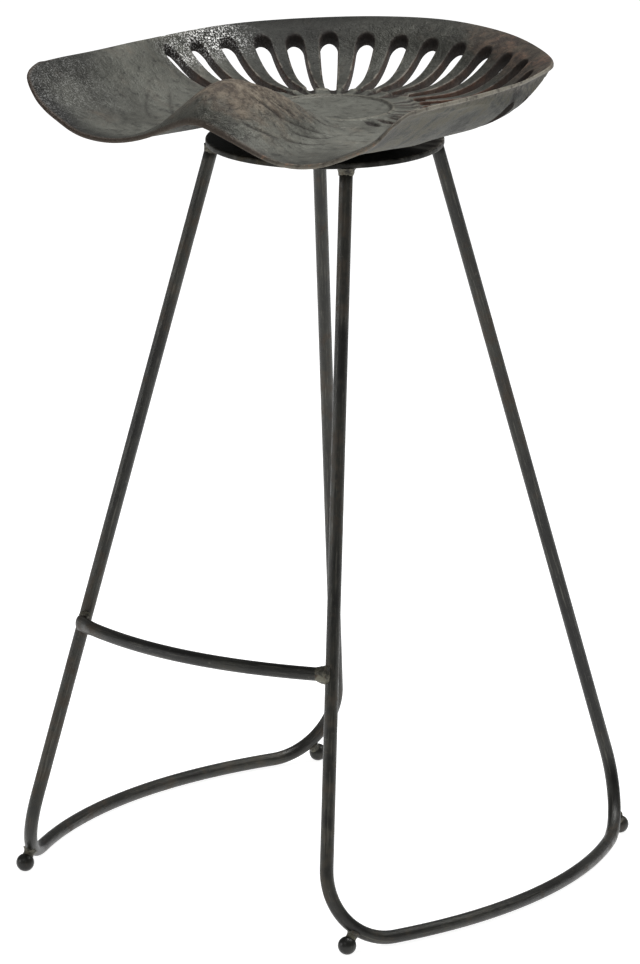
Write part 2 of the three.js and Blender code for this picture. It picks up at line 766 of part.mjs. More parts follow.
// A bolt from below, its head under a washer, its shank up to a height
function bolt(faceHeight, shankTop) {
  const headTop = faceHeight - washerThickness - 2 * faceGap;
  const corner = boltHeadAcrossFlats / Math.sqrt(3);
  const head = new THREE.CylinderGeometry(corner, corner, boltHeadHeight, 6);
  head.rotateX(Math.PI / 2).translate(0, 0, headTop - boltHeadHeight / 2);
  const shankBottom = headTop - boltHeadHeight / 2;
  const profile = [
    [0, shankBottom],
    [boltDiameter / 2, shankBottom],
    [boltDiameter / 2, shankTop],
    [0, shankTop],
  ];
  return geometryOf(solidOf(head).add(solidOf(turned(profile, roundSides))));
}

// The whole stool, set over the middle of its own footprint
function stool() {
  const group = new THREE.Group();
  const add = (name, geometry, material) => group.add(piece(name, geometry, material));
  const addTurned = (name, geometry, material) => add(name, geometry.rotateZ(seatTurn), material);
  addTurned('seat_pan', geometryOf(seatPan()), castIron);
  add('mounting_plate', geometryOf(mountingPlate()), darkSteel);
  add('left_leg_frame', geometryOf(frames.left), darkSteel);
  add('right_leg_frame', geometryOf(frames.right), darkSteel);
  add('footrest_bar', geometryOf(footrest), darkSteel);
  add('footrest_left_weld', geometryOf(footrestLapWeld()), weldMetal);
  add('footrest_right_weld', geometryOf(footrestButtWeld()), weldMetal);
  for (const leg of legs) {
    add(`${leg.label}_ball_foot`, geometryOf(ballSolid(leg)), darkSteel);
    add(`${leg.label}_foot_weld`, geometryOf(footWeld(leg)), weldMetal);
    add(`${leg.label}_leg_weld`, geometryOf(legWeld(leg)), weldMetal);
  }
  add('swivel_base_plate', geometryOf(swivelBase()), zincSteel);
  const bearing = ring(bearingInnerRadius, bearingOuterRadius, bearingBottom, bearingTop, 2 * roundSides);
  add('swivel_bearing_ring', bearing, bearingPlastic);
  add('swivel_pivot', swivelPivot(), zincSteel);
  addTurned('swivel_top_plate', geometryOf(swivelTop()), zincSteel);
  boltPlaces(baseBoltCircleRadius).forEach((place, index) => {
    const at = (geometry) => geometry.translate(place.x, place.y, 0);
    add(`base_bolt_${index + 1}`, at(bolt(plateHeight, swivelBaseTop - faceGap)), zincSteel);
    add(`base_washer_${index + 1}`, at(washer(plateHeight)), zincSteel);
  });
  boltPlaces(seatBoltCircleRadius).forEach((place, index) => {
    const at = (geometry) => geometry.translate(place.x, place.y, 0);
    addTurned(`seat_bolt_${index + 1}`, at(bolt(swivelTopBottom, bossBottom + seatBoltReach)), zincSteel);
    addTurned(`seat_washer_${index + 1}`, at(washer(swivelTopBottom)), zincSteel);
  });
  const middle = new THREE.Box3().setFromObject(group).getCenter(new THREE.Vector3());
  group.position.set(-middle.x, -middle.y, 0);
  return group;
}

const group = stool();
export default group;
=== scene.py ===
"""Looks of the tractor seat stool: a cast bucket seat on a swivel, a round plate, two bent
rod leg frames with ball feet and a curved footrest. Lengths are in millimetres until a
mesh is made, and then in metres."""
import math
from functools import cache

import bmesh
import bpy
import numpy as np
from mathutils import Matrix, Vector, noise
from mathutils.geometry import delaunay_2d_cdt


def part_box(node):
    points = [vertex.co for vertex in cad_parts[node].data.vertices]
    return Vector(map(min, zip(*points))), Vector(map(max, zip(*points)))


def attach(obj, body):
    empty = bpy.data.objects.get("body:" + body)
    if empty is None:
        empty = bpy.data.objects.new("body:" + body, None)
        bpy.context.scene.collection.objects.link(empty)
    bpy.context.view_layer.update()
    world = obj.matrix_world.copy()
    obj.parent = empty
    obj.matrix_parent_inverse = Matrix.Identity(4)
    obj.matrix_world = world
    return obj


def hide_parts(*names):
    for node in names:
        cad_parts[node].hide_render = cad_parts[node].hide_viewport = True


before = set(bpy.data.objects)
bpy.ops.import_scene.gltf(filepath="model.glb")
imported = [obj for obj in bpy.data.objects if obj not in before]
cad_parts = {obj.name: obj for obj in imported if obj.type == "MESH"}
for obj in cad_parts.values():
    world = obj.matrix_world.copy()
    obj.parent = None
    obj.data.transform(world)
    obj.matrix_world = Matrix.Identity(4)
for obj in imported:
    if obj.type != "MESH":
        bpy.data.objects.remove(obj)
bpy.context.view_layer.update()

MM = 0.001


# Where the parts stand

def node_box(name):
    low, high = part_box(name)
    return np.array(low) / MM, np.array(high) / MM


plate_low, plate_high = node_box("mounting_plate")
axis_x, axis_y = (plate_low[:2] + plate_high[:2]) / 2
plate_radius = (plate_high[0] - plate_low[0]) / 2
plate_bottom, plate_top = plate_low[2], plate_high[2]

# Leg frames, as seen from above the swivel's axis
rod_radius = 6.3
leg_top_inset = 6.9
leg_top_radius = plate_radius - leg_top_inset
front_leg_angle = math.radians(48.7)
back_leg_angle = math.radians(41.4)
front_foot = (182.5, 235.0)
back_foot = (173.7, 245.5)
runner_height = 8.0
runner_bow = 48.9
bend_radius = 62.8
ball_radius = 8.5
ball_flat_depth = 0.4
ball_offset = 17.5

# Footrest
footrest_height = 247.8
footrest_bow = 29.8
footrest_lap_offset = 9.0
footrest_lap_drop = 2.1
footrest_butt_offset = 2.0
footrest_overhang = -2.4
lap_thickness = 9.0
lap_width = 15.0
lap_length = 26.0

# Seat pan
seat_turn = math.radians(5.9)
pan_setback = 13.0
pan_floor = 720.7
pan_thickness = 9.2
rim_thickness = 4.6
side_rim_thickness = 8.6
seat_half_width = 199.4
seat_back_reach = 207.3
seat_front_reach = 235.7
bowl_depth = 48.8
disc_radius = 54.0
disc_depth = 1.5
shoulder_rise = 34.1
lobe_flare = 19.5
lobe_shoulder_share = 0.84
wall_run_share = 0.42
wall_back_power = 2.6
wall_side_power = 2.4
wall_front_power = 1.6
flare_rounding = 0.5
back_thickening = 1.6
side_thickening = 1.25
lobe_run = (-0.1, 0.6)
lobe_thinning = 0.55
thinning = (0.45, 0.8)
slot_count = 17
slot_pitch = math.radians(11.0)
slot_inner_radius = 84.0
slot_outer_radius = 179.0
slot_side_reach = 10.0
slot_inner_width = 10.5
slot_outer_width = 17.0
slot_drifts = [0.6, 1.0, 1.0, 1.2, 0.3, 0, 0.5, 0.5, 0.2, 0, 0, 0, 0, 0, 0, 0, 0]
slot_stretches = [0, 0, 0, -1, -2, 0, 0, 0, 0, 0, 2, 2, 3, 0, 0, 0, 0]
nose_height = 49.3
nose_run = 120.0
nose_start = 37.0
nose_top = 158.0
nose_top_run = 45.0
nose_fall = 0.385
nose_rear_half_width = 50.0
nose_spread = 0.27
nose_power = 1.3
rim_shares = [
    (0, 1, 0.955), (0.332, 0.948, 0.918), (0.628, 0.773, 0.887), (0.854, 0.542, 0.865),
    (0.944, 0.236, 0.912), (0.984, -0.099, 0.957), (0.992, -0.413, 1.023),
    (0.995, -0.667, 1.103), (1, -0.751, 1.115), (1, -0.811, 1.127), (0.98, -0.9, 0.984),
    (0.913, -0.933, 0.662), (0.838, -0.955, 0.467), (0.757, -0.969, 0.314),
    (0.685, -0.982, 0.199), (0.612, -0.993, 0.129), (0.522, -0.993, 0.088),
    (0.441, -0.982, 0.088), (0.348, -0.974, 0.15), (0.265, -0.971, 0.252),
    (0.176, -0.981, 0.404), (0, -1, 0.637),
]


# Small helpers

corner_share = 0.45
far_away = 1e9
nearly_nought = 1e-6


def smoothstep(value, low, high):
    share = np.clip((value - low) / (high - low), 0, 1)
    return share * share * (3 - 2 * share)


def lerp(a, b, share):
    return a + (b - a) * share


def bell(value, middle, width):
    """One at a middle value, and falling away smoothly on both sides of it"""
    return np.exp(-((value - middle) / width) ** 2)


def unit(vector):
    vector = np.asarray(vector, float)
    return vector / np.linalg.norm(vector)


def curve_through(start, middle, finish, steps):
    """Points on a curve from a start to a finish that bends towards a middle"""
    start, middle, finish = map(np.array, (start, middle, finish))
    t = np.linspace(0, 1, steps)[:, None]
    return (1 - t) ** 2 * start + 2 * t * (1 - t) * middle + t ** 2 * finish


def turn_about_axis(points, angle):
    c, s = math.cos(angle), math.sin(angle)
    x, y = points[:, 0], points[:, 1]
    return np.c_[x * c - y * s, x * s + y * c, points[:, 2:]]


def make_piece(name, body, finish, shape, node=None, spot=(0, 0), smooth=True):
    """A mesh piece from points in millimetres, set over the swivel's axis. What the seat
    carries is turned with it."""
    points, faces, *marks = shape
    points = points + (*spot, 0)
    if body == "seat":
        points = turn_about_axis(points, seat_turn)
    placed = (points + (axis_x, axis_y, 0)) * MM
    mesh = bpy.data.meshes.new(name)
    mesh.from_pydata(placed.tolist(), [], [list(map(int, face)) for face in faces])
    mesh.validate()
    mesh.update()
    bm = bmesh.new()
    bm.from_mesh(mesh)
    bmesh.ops.recalc_face_normals(bm, faces=bm.faces)
    bm.to_mesh(mesh)
    bm.free()
    for key, values in (marks[0] if marks else {}).items():
        layer = mesh.attributes.new(key, "FLOAT", "POINT")
        layer.data.foreach_set("value", np.asarray(values, np.float32))
    mesh.polygons.foreach_set("use_smooth", [smooth] * len(mesh.polygons))
    slot, material = finish
    mesh.materials.append(material)
    piece = bpy.data.objects.new(name, mesh)
    bpy.context.scene.collection.objects.link(piece)
    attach(piece, body)
    if node:
        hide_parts(node)


def ring_turns(sides):
    return 2 * math.pi * np.arange(sides) / sides


def row_faces(rows, sides, closed=False):
    """Faces between rings of points, and from the last ring to the first if they close"""
    faces = []
    for row in range(rows if closed else rows - 1):
        following = (row + 1) % rows
        for side in range(sides):
            beside = (side + 1) % sides
            faces.append([row * sides + side, row * sides + beside,
                          following * sides + beside, following * sides + side])
    return faces


def lathe(profile, sides, centre=(0, 0, 0), axis=(0, 0, 1)):
    """Points and faces of a closed turned shape from [radius, height] pairs. A profile that
    starts and ends on the axis is capped there, and any other closes on itself."""
    capped = profile[0][0] == 0 and profile[-1][0] == 0
    rows = profile[1:-1] if capped else profile
    turns = ring_turns(sides)
    points = [(radius * math.cos(turn), radius * math.sin(turn), height)
              for radius, height in rows for turn in turns]
    faces = row_faces(len(rows), sides, not capped)
    if capped:
        for end, row in ((0, 0), (-1, len(rows) - 1)):
            hub = len(points)
            points.append((0, 0, profile[end][1]))
            faces += [[hub, row * sides + side, row * sides + (side + 1) % sides] for side in range(sides)]
    tilt = Vector((0, 0, 1)).rotation_difference(Vector(axis)).to_matrix()
    return np.array(points) @ np.array(tilt).T + centre, faces


def rounded(profile, radius, steps):
    """Round the corners of a turned profile, but not its ends on the axis"""
    out = []
    for index, corner in enumerate(profile):
        if corner[0] == 0:
            out.append(corner)
            continue
        corner = np.array(corner, float)
        before = np.array(profile[index - 1]) - corner
        after = np.array(profile[(index + 1) % len(profile)]) - corner
        reach = min(radius, np.linalg.norm(before) * corner_share, np.linalg.norm(after) * corner_share)
        start, finish = corner + unit(before) * reach, corner + unit(after) * reach
        out += curve_through(start, corner, finish, steps + 1).tolist()
    return out


# Shader expressions

mix_factor, mix_first, mix_second, mix_result = 0, 6, 7, 2


class Socket:
    """An output of a node, with sums written as Python expressions"""

    def __init__(self, shader, socket):
        self.shader = shader
        self.socket = socket

    def math(self, operation, *values):
        return self.shader.node("ShaderNodeMath", {"operation": operation}, dict(enumerate(values)))

    def __add__(self, other):
        return self.math("ADD", self, other)

    def __radd__(self, other):
        return self.math("ADD", other, self)

    def __sub__(self, other):
        return self.math("SUBTRACT", self, other)

    def __rsub__(self, other):
        return self.math("SUBTRACT", other, self)

    def __mul__(self, other):
        return self.math("MULTIPLY", self, other)

    def __rmul__(self, other):
        return self.math("MULTIPLY", other, self)


class Shader:
    """One material's nodes"""

    def __init__(self, name):
        self.material = bpy.data.materials.new(name)
        self.material.use_nodes = True
        self.tree = self.material.node_tree
        self.surface = self.tree.nodes["Principled BSDF"]
        self.place = self.node("ShaderNodeTexCoord", output="Object")

    def node(self, kind, settings=None, inputs=None, output=0):
        node = self.tree.nodes.new(kind)
        for key, value in (settings or {}).items():
            setattr(node, key, value)
        for key, value in (inputs or {}).items():
            self.feed(node.inputs[key], value)
        return Socket(self, node.outputs[output])

    def feed(self, target, value):
        if isinstance(value, Socket):
            self.tree.links.new(value.socket, target)
        else:
            target.default_value = value

    def mix(self, first, second, factor):
        """One colour over another, each a colour's three shares or what a node gives"""
        first, second = [value if isinstance(value, Socket) else (*value, 1.0) for value in (first, second)]
        return self.node("ShaderNodeMix", {"data_type": "RGBA"},
                         {mix_factor: factor, mix_first: first, mix_second: second}, mix_result)

    def layers(self, color, coats):
        """Colours laid over one another in turn, each with where it shows"""
        for coat, share in coats:
            color = self.mix(color, coat, share)
        return color

    def stretched(self, *scale):
        return self.node("ShaderNodeMapping", {"vector_type": "POINT"},
                         {"Vector": self.place, "Scale": scale})

    @cache
    def noise(self, scale, detail=4.0, roughness=0.55, distortion=0.0, place=None):
        return self.node("ShaderNodeTexNoise", {}, {
            "Vector": place or self.place, "Scale": scale, "Detail": detail,
            "Roughness": roughness, "Distortion": distortion})

    def noises(self, *kinds):
        return [self.noise(*kind) for kind in kinds]

    def band(self, value, low, high):
        """Nought below one value and one above another, smoothly"""
        return self.node("ShaderNodeMapRange", {"interpolation_type": "SMOOTHSTEP"},
                         {"Value": value, "From Min": low, "From Max": high})

    @cache
    def mark(self, name):
        return self.node("ShaderNodeAttribute", {"attribute_name": name}, output="Fac")

    def marks(self, *names):
        return [self.mark(name) for name in names]

    def bump(self, height, distance, strength, under=None):
        inputs = {"Height": height, "Distance": distance, "Strength": strength}
        if under:
            inputs["Normal"] = under
        return self.node("ShaderNodeBump", {}, inputs)

    def finish(self, **values):
        names = {"color": "Base Color", "roughness": "Roughness", "metallic": "Metallic",
                 "normal": "Normal", "specular": "Specular IOR Level"}
        for key, value in values.items():
            self.feed(self.surface.inputs[names[key]], value)
        return self.material


# The camera

camera_azimuth = math.radians(37.936)
camera_elevation = math.radians(15.567)
camera_distance = 6489.47
camera_focus_px = 6942.93
camera_aim_height = 350.0
camera_aim_right = -4.5
camera_aim_up = 14.904
picture_height_px = 964
sensor_mm = 36.0


def add_camera():
    a, e = camera_azimuth, camera_elevation
    forward = Vector((-math.sin(a) * math.cos(e), math.cos(a) * math.cos(e), -math.sin(e)))
    right = Vector((math.cos(a), math.sin(a), 0))
    up = right.cross(forward)
    target = Vector((axis_x, axis_y, camera_aim_height)) + right * camera_aim_right + up * camera_aim_up
    camera = bpy.data.cameras.new("camera")
    camera.sensor_fit = "AUTO"
    camera.sensor_width = sensor_mm
    camera.lens = camera_focus_px * sensor_mm / picture_height_px
    camera.clip_end = 100.0
    holder = bpy.data.objects.new("camera", camera)
    turn = Matrix((right, up, -forward)).transposed()
    holder.matrix_world = Matrix.Translation((target - forward * camera_distance) * MM) @ turn.to_4x4()
    bpy.context.scene.collection.objects.link(holder)
    bpy.context.scene.camera = holder


add_camera()


# Shape of the seat pan

rim_steps = 14
shoulder_round = 5.0
shoulder_shares = (-1, -0.5, 0, 0.5, 1)


def rim_line():
    """The rim, all the way round from the back middle, as [x, y, rise] rows"""
    def spot(share, side):
        across, along, rise = share
        reach = seat_back_reach if along > 0 else seat_front_reach
        return (side * across * seat_half_width, along * reach, rise * bowl_depth)

    right = [spot(share, 1) for share in rim_shares]
    left = [spot(share, -1) for share in reversed(rim_shares[1:-1])]
    knots = np.array(right + left, float)
    count = len(knots)
    out = []
    for index in range(count):
        p0, p1, p2, p3 = (knots[(index + step) % count] for step in (-1, 0, 1, 2))
        d0, d1, d2 = (np.linalg.norm(b - a) ** 0.5 for a, b in ((p0, p1), (p1, p2), (p2, p3)))
        t1 = ((p1 - p0) / d0 - (p2 - p0) / (d0 + d1) + (p2 - p1) / d1) * d1
        t2 = ((p2 - p1) / d1 - (p3 - p1) / (d1 + d2) + (p3 - p2) / d2) * d1
        for step in range(rim_steps):
            t = step / rim_steps
            out.append(p1 + t1 * t + (3 * (p2 - p1) - 2 * t1 - t2) * t ** 2
                       + (2 * (p1 - p2) + t1 + t2) * t ** 3)
    return np.array(out)


def even_loop(points, spacing):
    """Points at an even spacing round a closed line"""
    closed = np.vstack([points, points[:1]])
    lengths = np.r_[0, np.cumsum(np.linalg.norm(np.diff(closed, axis=0), axis=1))]
    count = round(lengths[-1] / spacing)
    where = np.linspace(0, lengths[-1], count, endpoint=False)
    return np.array([np.interp(where, lengths, closed[:, axis]) for axis in range(closed.shape[1])]).T


rim_points = rim_line()
rim_angles = np.arctan2(rim_points[:, 0], rim_points[:, 1])
rim_order = np.argsort(rim_angles)
rim_table = np.vstack([rim_points[rim_order[-1]], rim_points[rim_order], rim_points[rim_order[0]]])
rim_angle_table = np.r_[rim_angles[rim_order[-1]] - 2 * math.pi, rim_angles[rim_order],
                        rim_angles[rim_order[0]] + 2 * math.pi]


def rim_at(angle):
    """Radius and rise of the rim in a direction, measured from the back towards the right"""
    radius = np.interp(angle, rim_angle_table, np.hypot(rim_table[:, 0], rim_table[:, 1]))
    rise = np.interp(angle, rim_angle_table, rim_table[:, 2])
    return radius, rise


def slot_reach(to_back):
    """How far out the slots end, further at the pan's sides than at its back"""
    return slot_outer_radius + slot_side_reach * (1 - np.maximum(to_back, 0) ** 2)


def nose_rise(x, y):
    """Height of the raised nose at the pan's front"""
    climb = np.clip((-nose_start - y) / nose_run, 0, 1)
    past = np.maximum((-nose_top - y) / nose_top_run, 0)
    crest = np.sin(math.pi / 2 * climb) ** nose_power * (1 - nose_fall * past ** 2)
    half_width = nose_rear_half_width + nose_spread * np.maximum(-nose_start - y, 0)
    across = np.minimum(np.abs(x) / half_width, 1)
    return nose_height * crest * np.cos(math.pi / 2 * across) ** 2


def pan_rise(x, y, radius=None):
    """Height of the bowl above its floor, and where its front, sides, shoulder and rim are"""
    own_radius = np.maximum(np.hypot(x, y), nearly_nought)
    dx, dy = x / own_radius, y / own_radius
    radius = own_radius if radius is None else radius
    rim_radius, rim_rise = rim_at(np.arctan2(dx, dy))
    rim_rise = rim_rise - nose_rise(rim_radius * dx, rim_radius * dy)
    to_side = 1 - np.maximum(dy, 0) ** 2
    to_front = smoothstep(-dy, *lobe_run)
    slot_end = np.minimum(slot_reach(dy), rim_radius - rim_thickness)
    shoulder_radius = lerp(slot_end, rim_radius - lobe_flare, to_front)
    shoulder = lerp(shoulder_rise, rim_rise * lobe_shoulder_share, to_front)
    wall_run = shoulder_radius * wall_run_share
    power = lerp(wall_back_power, wall_side_power, to_side * (1 - to_front))
    power = lerp(power, wall_front_power, smoothstep(-dy, *thinning))
    past = np.clip((radius - shoulder_radius) / (rim_radius - shoulder_radius), 0, 1)
    flare = lerp(shoulder, rim_rise, past * (1 + flare_rounding * (1 - past)))
    up = np.clip(1 - (shoulder_radius - radius) / wall_run, 0, 1)
    wall = shoulder * up ** power
    rise = np.where(radius > shoulder_radius, flare, wall)
    return rise + nose_rise(radius * dx, radius * dy), to_side, to_front, shoulder_radius, rim_radius


def smooth_rise(x, y):
    """The bowl with the crease at its shoulder rounded over"""
    radius = np.hypot(x, y)
    base, to_side, to_front, shoulder_radius, rim_radius = pan_rise(x, y)
    room = np.clip(rim_radius - radius, 0, shoulder_round)
    total = np.zeros_like(base)
    for share in shoulder_shares:
        total += pan_rise(x, y, np.maximum(radius + share * room, 0))[0]
    return total / len(shoulder_shares), to_side, to_front, shoulder_radius, rim_radius


def pan_wall(x, y):
    """Height of the bowl above its floor, and the upright thickness of its wall"""
    radius = np.maximum(np.hypot(x, y), nearly_nought)
    here, to_side, to_front, shoulder_radius, rim_radius = smooth_rise(x, y)
    inner = pan_rise(x, y, np.maximum(radius - rim_thickness, 0))[0]
    slope = np.abs(here - inner) / rim_thickness
    thinned = smoothstep(-y / radius, *thinning)
    thickness = pan_thickness * lerp(1, lobe_thinning, thinned)
    most = lerp(lerp(back_thickening, side_thickening, to_side), 1, to_front)
    wall = thickness * np.minimum(np.hypot(1, slope), most)
    rim_wall = lerp(side_rim_thickness, rim_thickness, thinned)
    return here, lerp(wall, rim_wall, smoothstep(radius, shoulder_radius, rim_radius))


# Slots of the pan

slot_outer_steps = 13
slot_inner_steps = 11
slot_spacing = 2.0


def slot_angle(slot):
    return (slot - (slot_count - 1) / 2) * slot_pitch + math.radians(slot_drifts[slot])


def along_across(x, y, angle):
    """How far places lie along a direction in plan, and how far to its right"""
    c, s = math.cos(angle), math.sin(angle)
    return x * s + y * c, x * c - y * s


def slot_frame(slot):
    """Where a slot's two round ends lie and how wide they are"""
    reach = float(slot_reach(math.cos(slot_angle(slot)))) + slot_stretches[slot]
    inner, outer = slot_inner_width / 2, slot_outer_width / 2
    return slot_inner_radius + inner, reach - outer, inner, outer


def slot_distance(x, y, slot):
    """How far a place lies outside a slot, in plan, and less than nought inside it"""
    near, far, inner, outer = slot_frame(slot)
    along, across = along_across(x, y, slot_angle(slot))
    share = np.clip((along - near) / (far - near), 0, 1)
    past = along - np.clip(along, near, far)
    return np.hypot(across, past) - lerp(inner, outer, share)


def slot_loop(slot, grown):
    """A slot's outline, grown by a distance"""
    near, far, inner, outer = slot_frame(slot)
    c, s = math.cos(slot_angle(slot)), math.sin(slot_angle(slot))
    outline = []
    for radius, end, first, steps in ((outer + grown, far, 0, slot_outer_steps),
                                      (inner + grown, near, math.pi, slot_inner_steps)):
        for turn in np.linspace(first, first + math.pi, steps):
            across, along = radius * math.cos(turn), end + radius * math.sin(turn)
            outline.append((across * c + along * s, along * c - across * s))
    return even_loop(np.array(outline), slot_spacing)


# Pierced sheets

spot_clearance = 0.45
merge_distance = 1e-5
hole_spacing = 1.5


def pierced_sheet(outline, holes, spacing, edge_rings, spots):
    """Triangles over an outline less its holes. Each hole is a pair of functions: its loop
    when grown by a distance, and how far points lie outside it. Gives the flat points, the
    triangles, the closed edge loops and each point's distances from the rim and the holes."""
    points, edges = [], []
    shapes = [outline] + [loop for loop, distance in holes]

    def add_loop(loop):
        first = len(points)
        points.extend(loop.tolist())
        return list(range(first, len(points)))

    loops = [add_loop(shape(0.0)) for shape in shapes]
    for loop in loops:
        edges.extend(zip(loop, loop[1:] + loop[:1]))
    for ring in edge_rings:
        for shape in shapes:
            add_loop(shape(ring))
    rim = outline(0.0)
    clearance = edge_rings[-1] + spacing * spot_clearance
    keep = inside_loop(spots, rim) & (loop_distance(spots, rim) > clearance)
    for loop, distance in holes:
        keep &= distance(*spots.T) > clearance
    points.extend(spots[keep].tolist())
    flat, triangles = triangulate(points, edges)
    middles = flat[triangles].mean(1)
    good = inside_loop(middles, rim)
    rim_gap, hole_gap = loop_distance(flat, rim), np.full(len(flat), far_away)
    for loop, distance in holes:
        good &= ~inside_loop(middles, loop(0.0))
        hole_gap = np.minimum(hole_gap, np.abs(distance(*flat.T)))
    rim_gap[loops[0]] = 0
    for loop in loops[1:]:
        hole_gap[loop] = 0
    return flat, triangles[good], loops, rim_gap, hole_gap


def triangulate(points, edges):
    placed = [Vector(point) for point in points]
    result = delaunay_2d_cdt(placed, edges, [], 0, merge_distance, False)
    flat = np.array([tuple(point) for point in result[0]])
    return flat, np.array([face for face in result[2] if len(face) == 3])


def inside_loop(points, loop):
    x, y = points.T
    inside = np.zeros(len(points), bool)
    for (x0, y0), (x1, y1) in zip(loop, np.roll(loop, -1, 0)):
        if y0 != y1:
            crossing = (y0 > y) != (y1 > y)
            inside ^= crossing & (x < (x1 - x0) * (y - y0) / (y1 - y0) + x0)
    return inside


def loop_distance(points, loop):
    best = np.full(len(points), far_away)
    for a, b in zip(loop, np.roll(loop, -1, 0)):
        way = b - a
        share = np.clip(((points - a) @ way) / (way @ way), 0, 1)
        best = np.minimum(best, np.linalg.norm(points - a - share[:, None] * way, axis=1))
    return best


def grid_spots(half_width, spacing):
    """Staggered rows of places over a square"""
    rows = np.arange(-half_width, half_width, spacing * math.sqrt(3) / 2)
    spots = [(x + (index % 2) * spacing / 2, y) for index, y in enumerate(rows)
             for x in np.arange(-half_width, half_width, spacing)]
    return np.array(spots)


def sheet_solid(flat, triangles, loops, top, bottom):
    """Close a sheet with a skin below it and a wall round each of its edges"""
    count = len(flat)
    points = np.vstack([np.c_[flat, top], np.c_[flat, bottom]])
    faces = [list(face) for face in triangles] + [list(face[::-1] + count) for face in triangles]
    for loop in loops:
        faces += [[a, b, b + count, a + count] for a, b in zip(loop, loop[1:] + loop[:1])]
    return points, faces


def edge_drop(gap, radius):
    """How much a rounded edge falls away at a distance in from it"""
    inward = np.clip(radius - gap, 0, radius)
    return radius - np.sqrt(np.maximum(radius ** 2 - inward ** 2, 0))


def inset_loop(loop, inset):
    """A closed line moved inward by a distance"""
    way = np.roll(loop, -1, 0) - np.roll(loop, 1, 0)
    way /= np.linalg.norm(way, axis=1)[:, None]
    normal = np.stack([way[:, 1], -way[:, 0]], 1)
    middle = loop.mean(0)
    if ((loop + normal - middle) ** 2).sum() > ((loop - middle) ** 2).sum():
        normal = -normal
    return loop + normal * inset


def circle_loop(x, y, radius, spacing, grown=0.0):
    """A round loop, with as many points as its size before it grew needs"""
    turns = ring_turns(int(2 * math.pi * radius / spacing))
    return np.stack([x + (radius + grown) * np.cos(turns), y + (radius + grown) * np.sin(turns)], 1)


def circle_hole(x, y, radius):
    return (lambda grown: circle_loop(x, y, radius, hole_spacing, grown),
            lambda px, py: np.hypot(px - x, py - y) - radius)


# The seat pan's edges, and the marks that casting left on it

rim_edge_round = 2.1
slot_edge_round = 1.0
slot_under_round = 0.4
rim_spacing = 2.6
edge_ring_gaps = (0.3, 0.8, 1.5, 2.5, 4.2)
lip_height = 4.4
lip_width = 3.0
lip_blend = 2.4
rim_recess_depth = 1.4
rim_recess_inset = 1.7
rim_recess_width = 0.8
side_round_share = 0.7
pan_grid = 3.2
fine_grid = 1.5
fine_radius = 95.0
fine_nose_half_width = 90.0
fine_lobe_reach = 160.0
fine_nose_start = 20.0
pan_margin = 10.0

# Short grooves between the slots' inner ends and the disc. Those past the last slots fade out.
groove_inner_radius = 57.0
groove_outer_radius = 92.0
groove_half_width = 4.4
groove_tip_share = 0.45
groove_depth = 3.0
groove_slant = math.radians(4.0)
groove_start_wander = 8.0
groove_drift_share = 0.2
groove_seed_step = 1.7
groove_seed = (0.4, 0.9)
groove_run_power = 0.7
groove_wall_power = 6
extra_grooves = 3
extra_fade_start = 0.55
extra_stretch = 1.5

# Raised lines round the disc and behind the slots' inner ends
disc_edge = 1.6
disc_ridge = 1.2
disc_ridge_gap = 2.2
disc_ridge_width = 1.7
slot_ridge = 1.2
slot_ridge_radius = 79.0
slot_ridge_width = 3.2

# Soft unevenness of the sand casting: how fine each layer is and how high
casting_grain = 38.0
casting_layers = [(1, 0.45), (3.1, 0.18), (9.7, 0.05)]
casting_seed = 3.7
casting_rim_fade = (1.5, 9)
casting_slot_fade = (1.5, 6)
flow_rim_fade = (2, 8)
back_start = (0.1, 0.5)
quiet_rise = (0.02, 0.2)

# Where the finish finds the pan's edges and marks
cut_fade = (0.1, 1.2)
rim_edge_fade = (1.0, 4.0)
rim_near_fade = (3.0, 34.0)
groove_wall_fade = (0.2, 1.2)
worn_gap = 1.1
worn_width = 0.8
ring_gap = 0.4
ring_width = 1.3

# Flow lines that the iron left on the nose, each a start, a middle and an end in plan,
# then a height, less than nought for a crease
flow_lines = [
    ((8, -176), (22, -124), (30, -80), 1.6),
    ((22, -176), (34, -168), (46, -146), -1.7),
    ((36, -212), (50, -202), (64, -180), -1.5),
    ((38, -168), (50, -122), (60, -92), -1.9),
    ((34, -92), (47, -71), (74, -54), -1.7),
    ((52, -162), (62, -132), (68, -86), -1.3),
    ((60, -188), (68, -154), (78, -120), -1.0),
    ((18, -156), (32, -142), (42, -116), -1.2),
    ((-34, -190), (-24, -150), (-20, -110), -0.9),
    ((-66, -188), (-52, -150), (-44, -104), -1.0),
    ((-150, -40), (-128, -86), (-92, -118), -0.7),
    ((-158, -60), (-140, -112), (-104, -140), -0.7),
    ((-128, -20), (-112, -60), (-84, -92), -0.6),
]
flow_half_width = 1.35
flow_steps = 40
flow_fade_in = 0.25
flow_fade_out = 0.7


def groove_cut(x, y):
    """Depth of the short grooves that run from the slots' inner ends towards the disc"""
    depth = np.zeros_like(x)
    for index in range(-extra_grooves, slot_count + extra_grooves):
        wander = noise.noise(Vector((index * groove_seed_step, *groove_seed)))
        inside = 0 <= index < slot_count
        angle = slot_angle(index) if inside else (index - (slot_count - 1) / 2) * slot_pitch
        angle += wander * groove_slant
        along, across = along_across(x, y, angle)
        across += wander * (along - groove_outer_radius) * groove_drift_share
        start = groove_inner_radius - groove_start_wander * wander
        share = np.clip((along - start) / (groove_outer_radius - start), 0, 1)
        if not inside:
            share = share * (1 - smoothstep(share, extra_fade_start, 1)) * extra_stretch
        width = groove_half_width * lerp(groove_tip_share, 1, share)
        run = (share * (along < groove_outer_radius)) ** groove_run_power
        depth = np.maximum(depth, groove_depth * run / (1 + (across / width) ** groove_wall_power))
    return depth


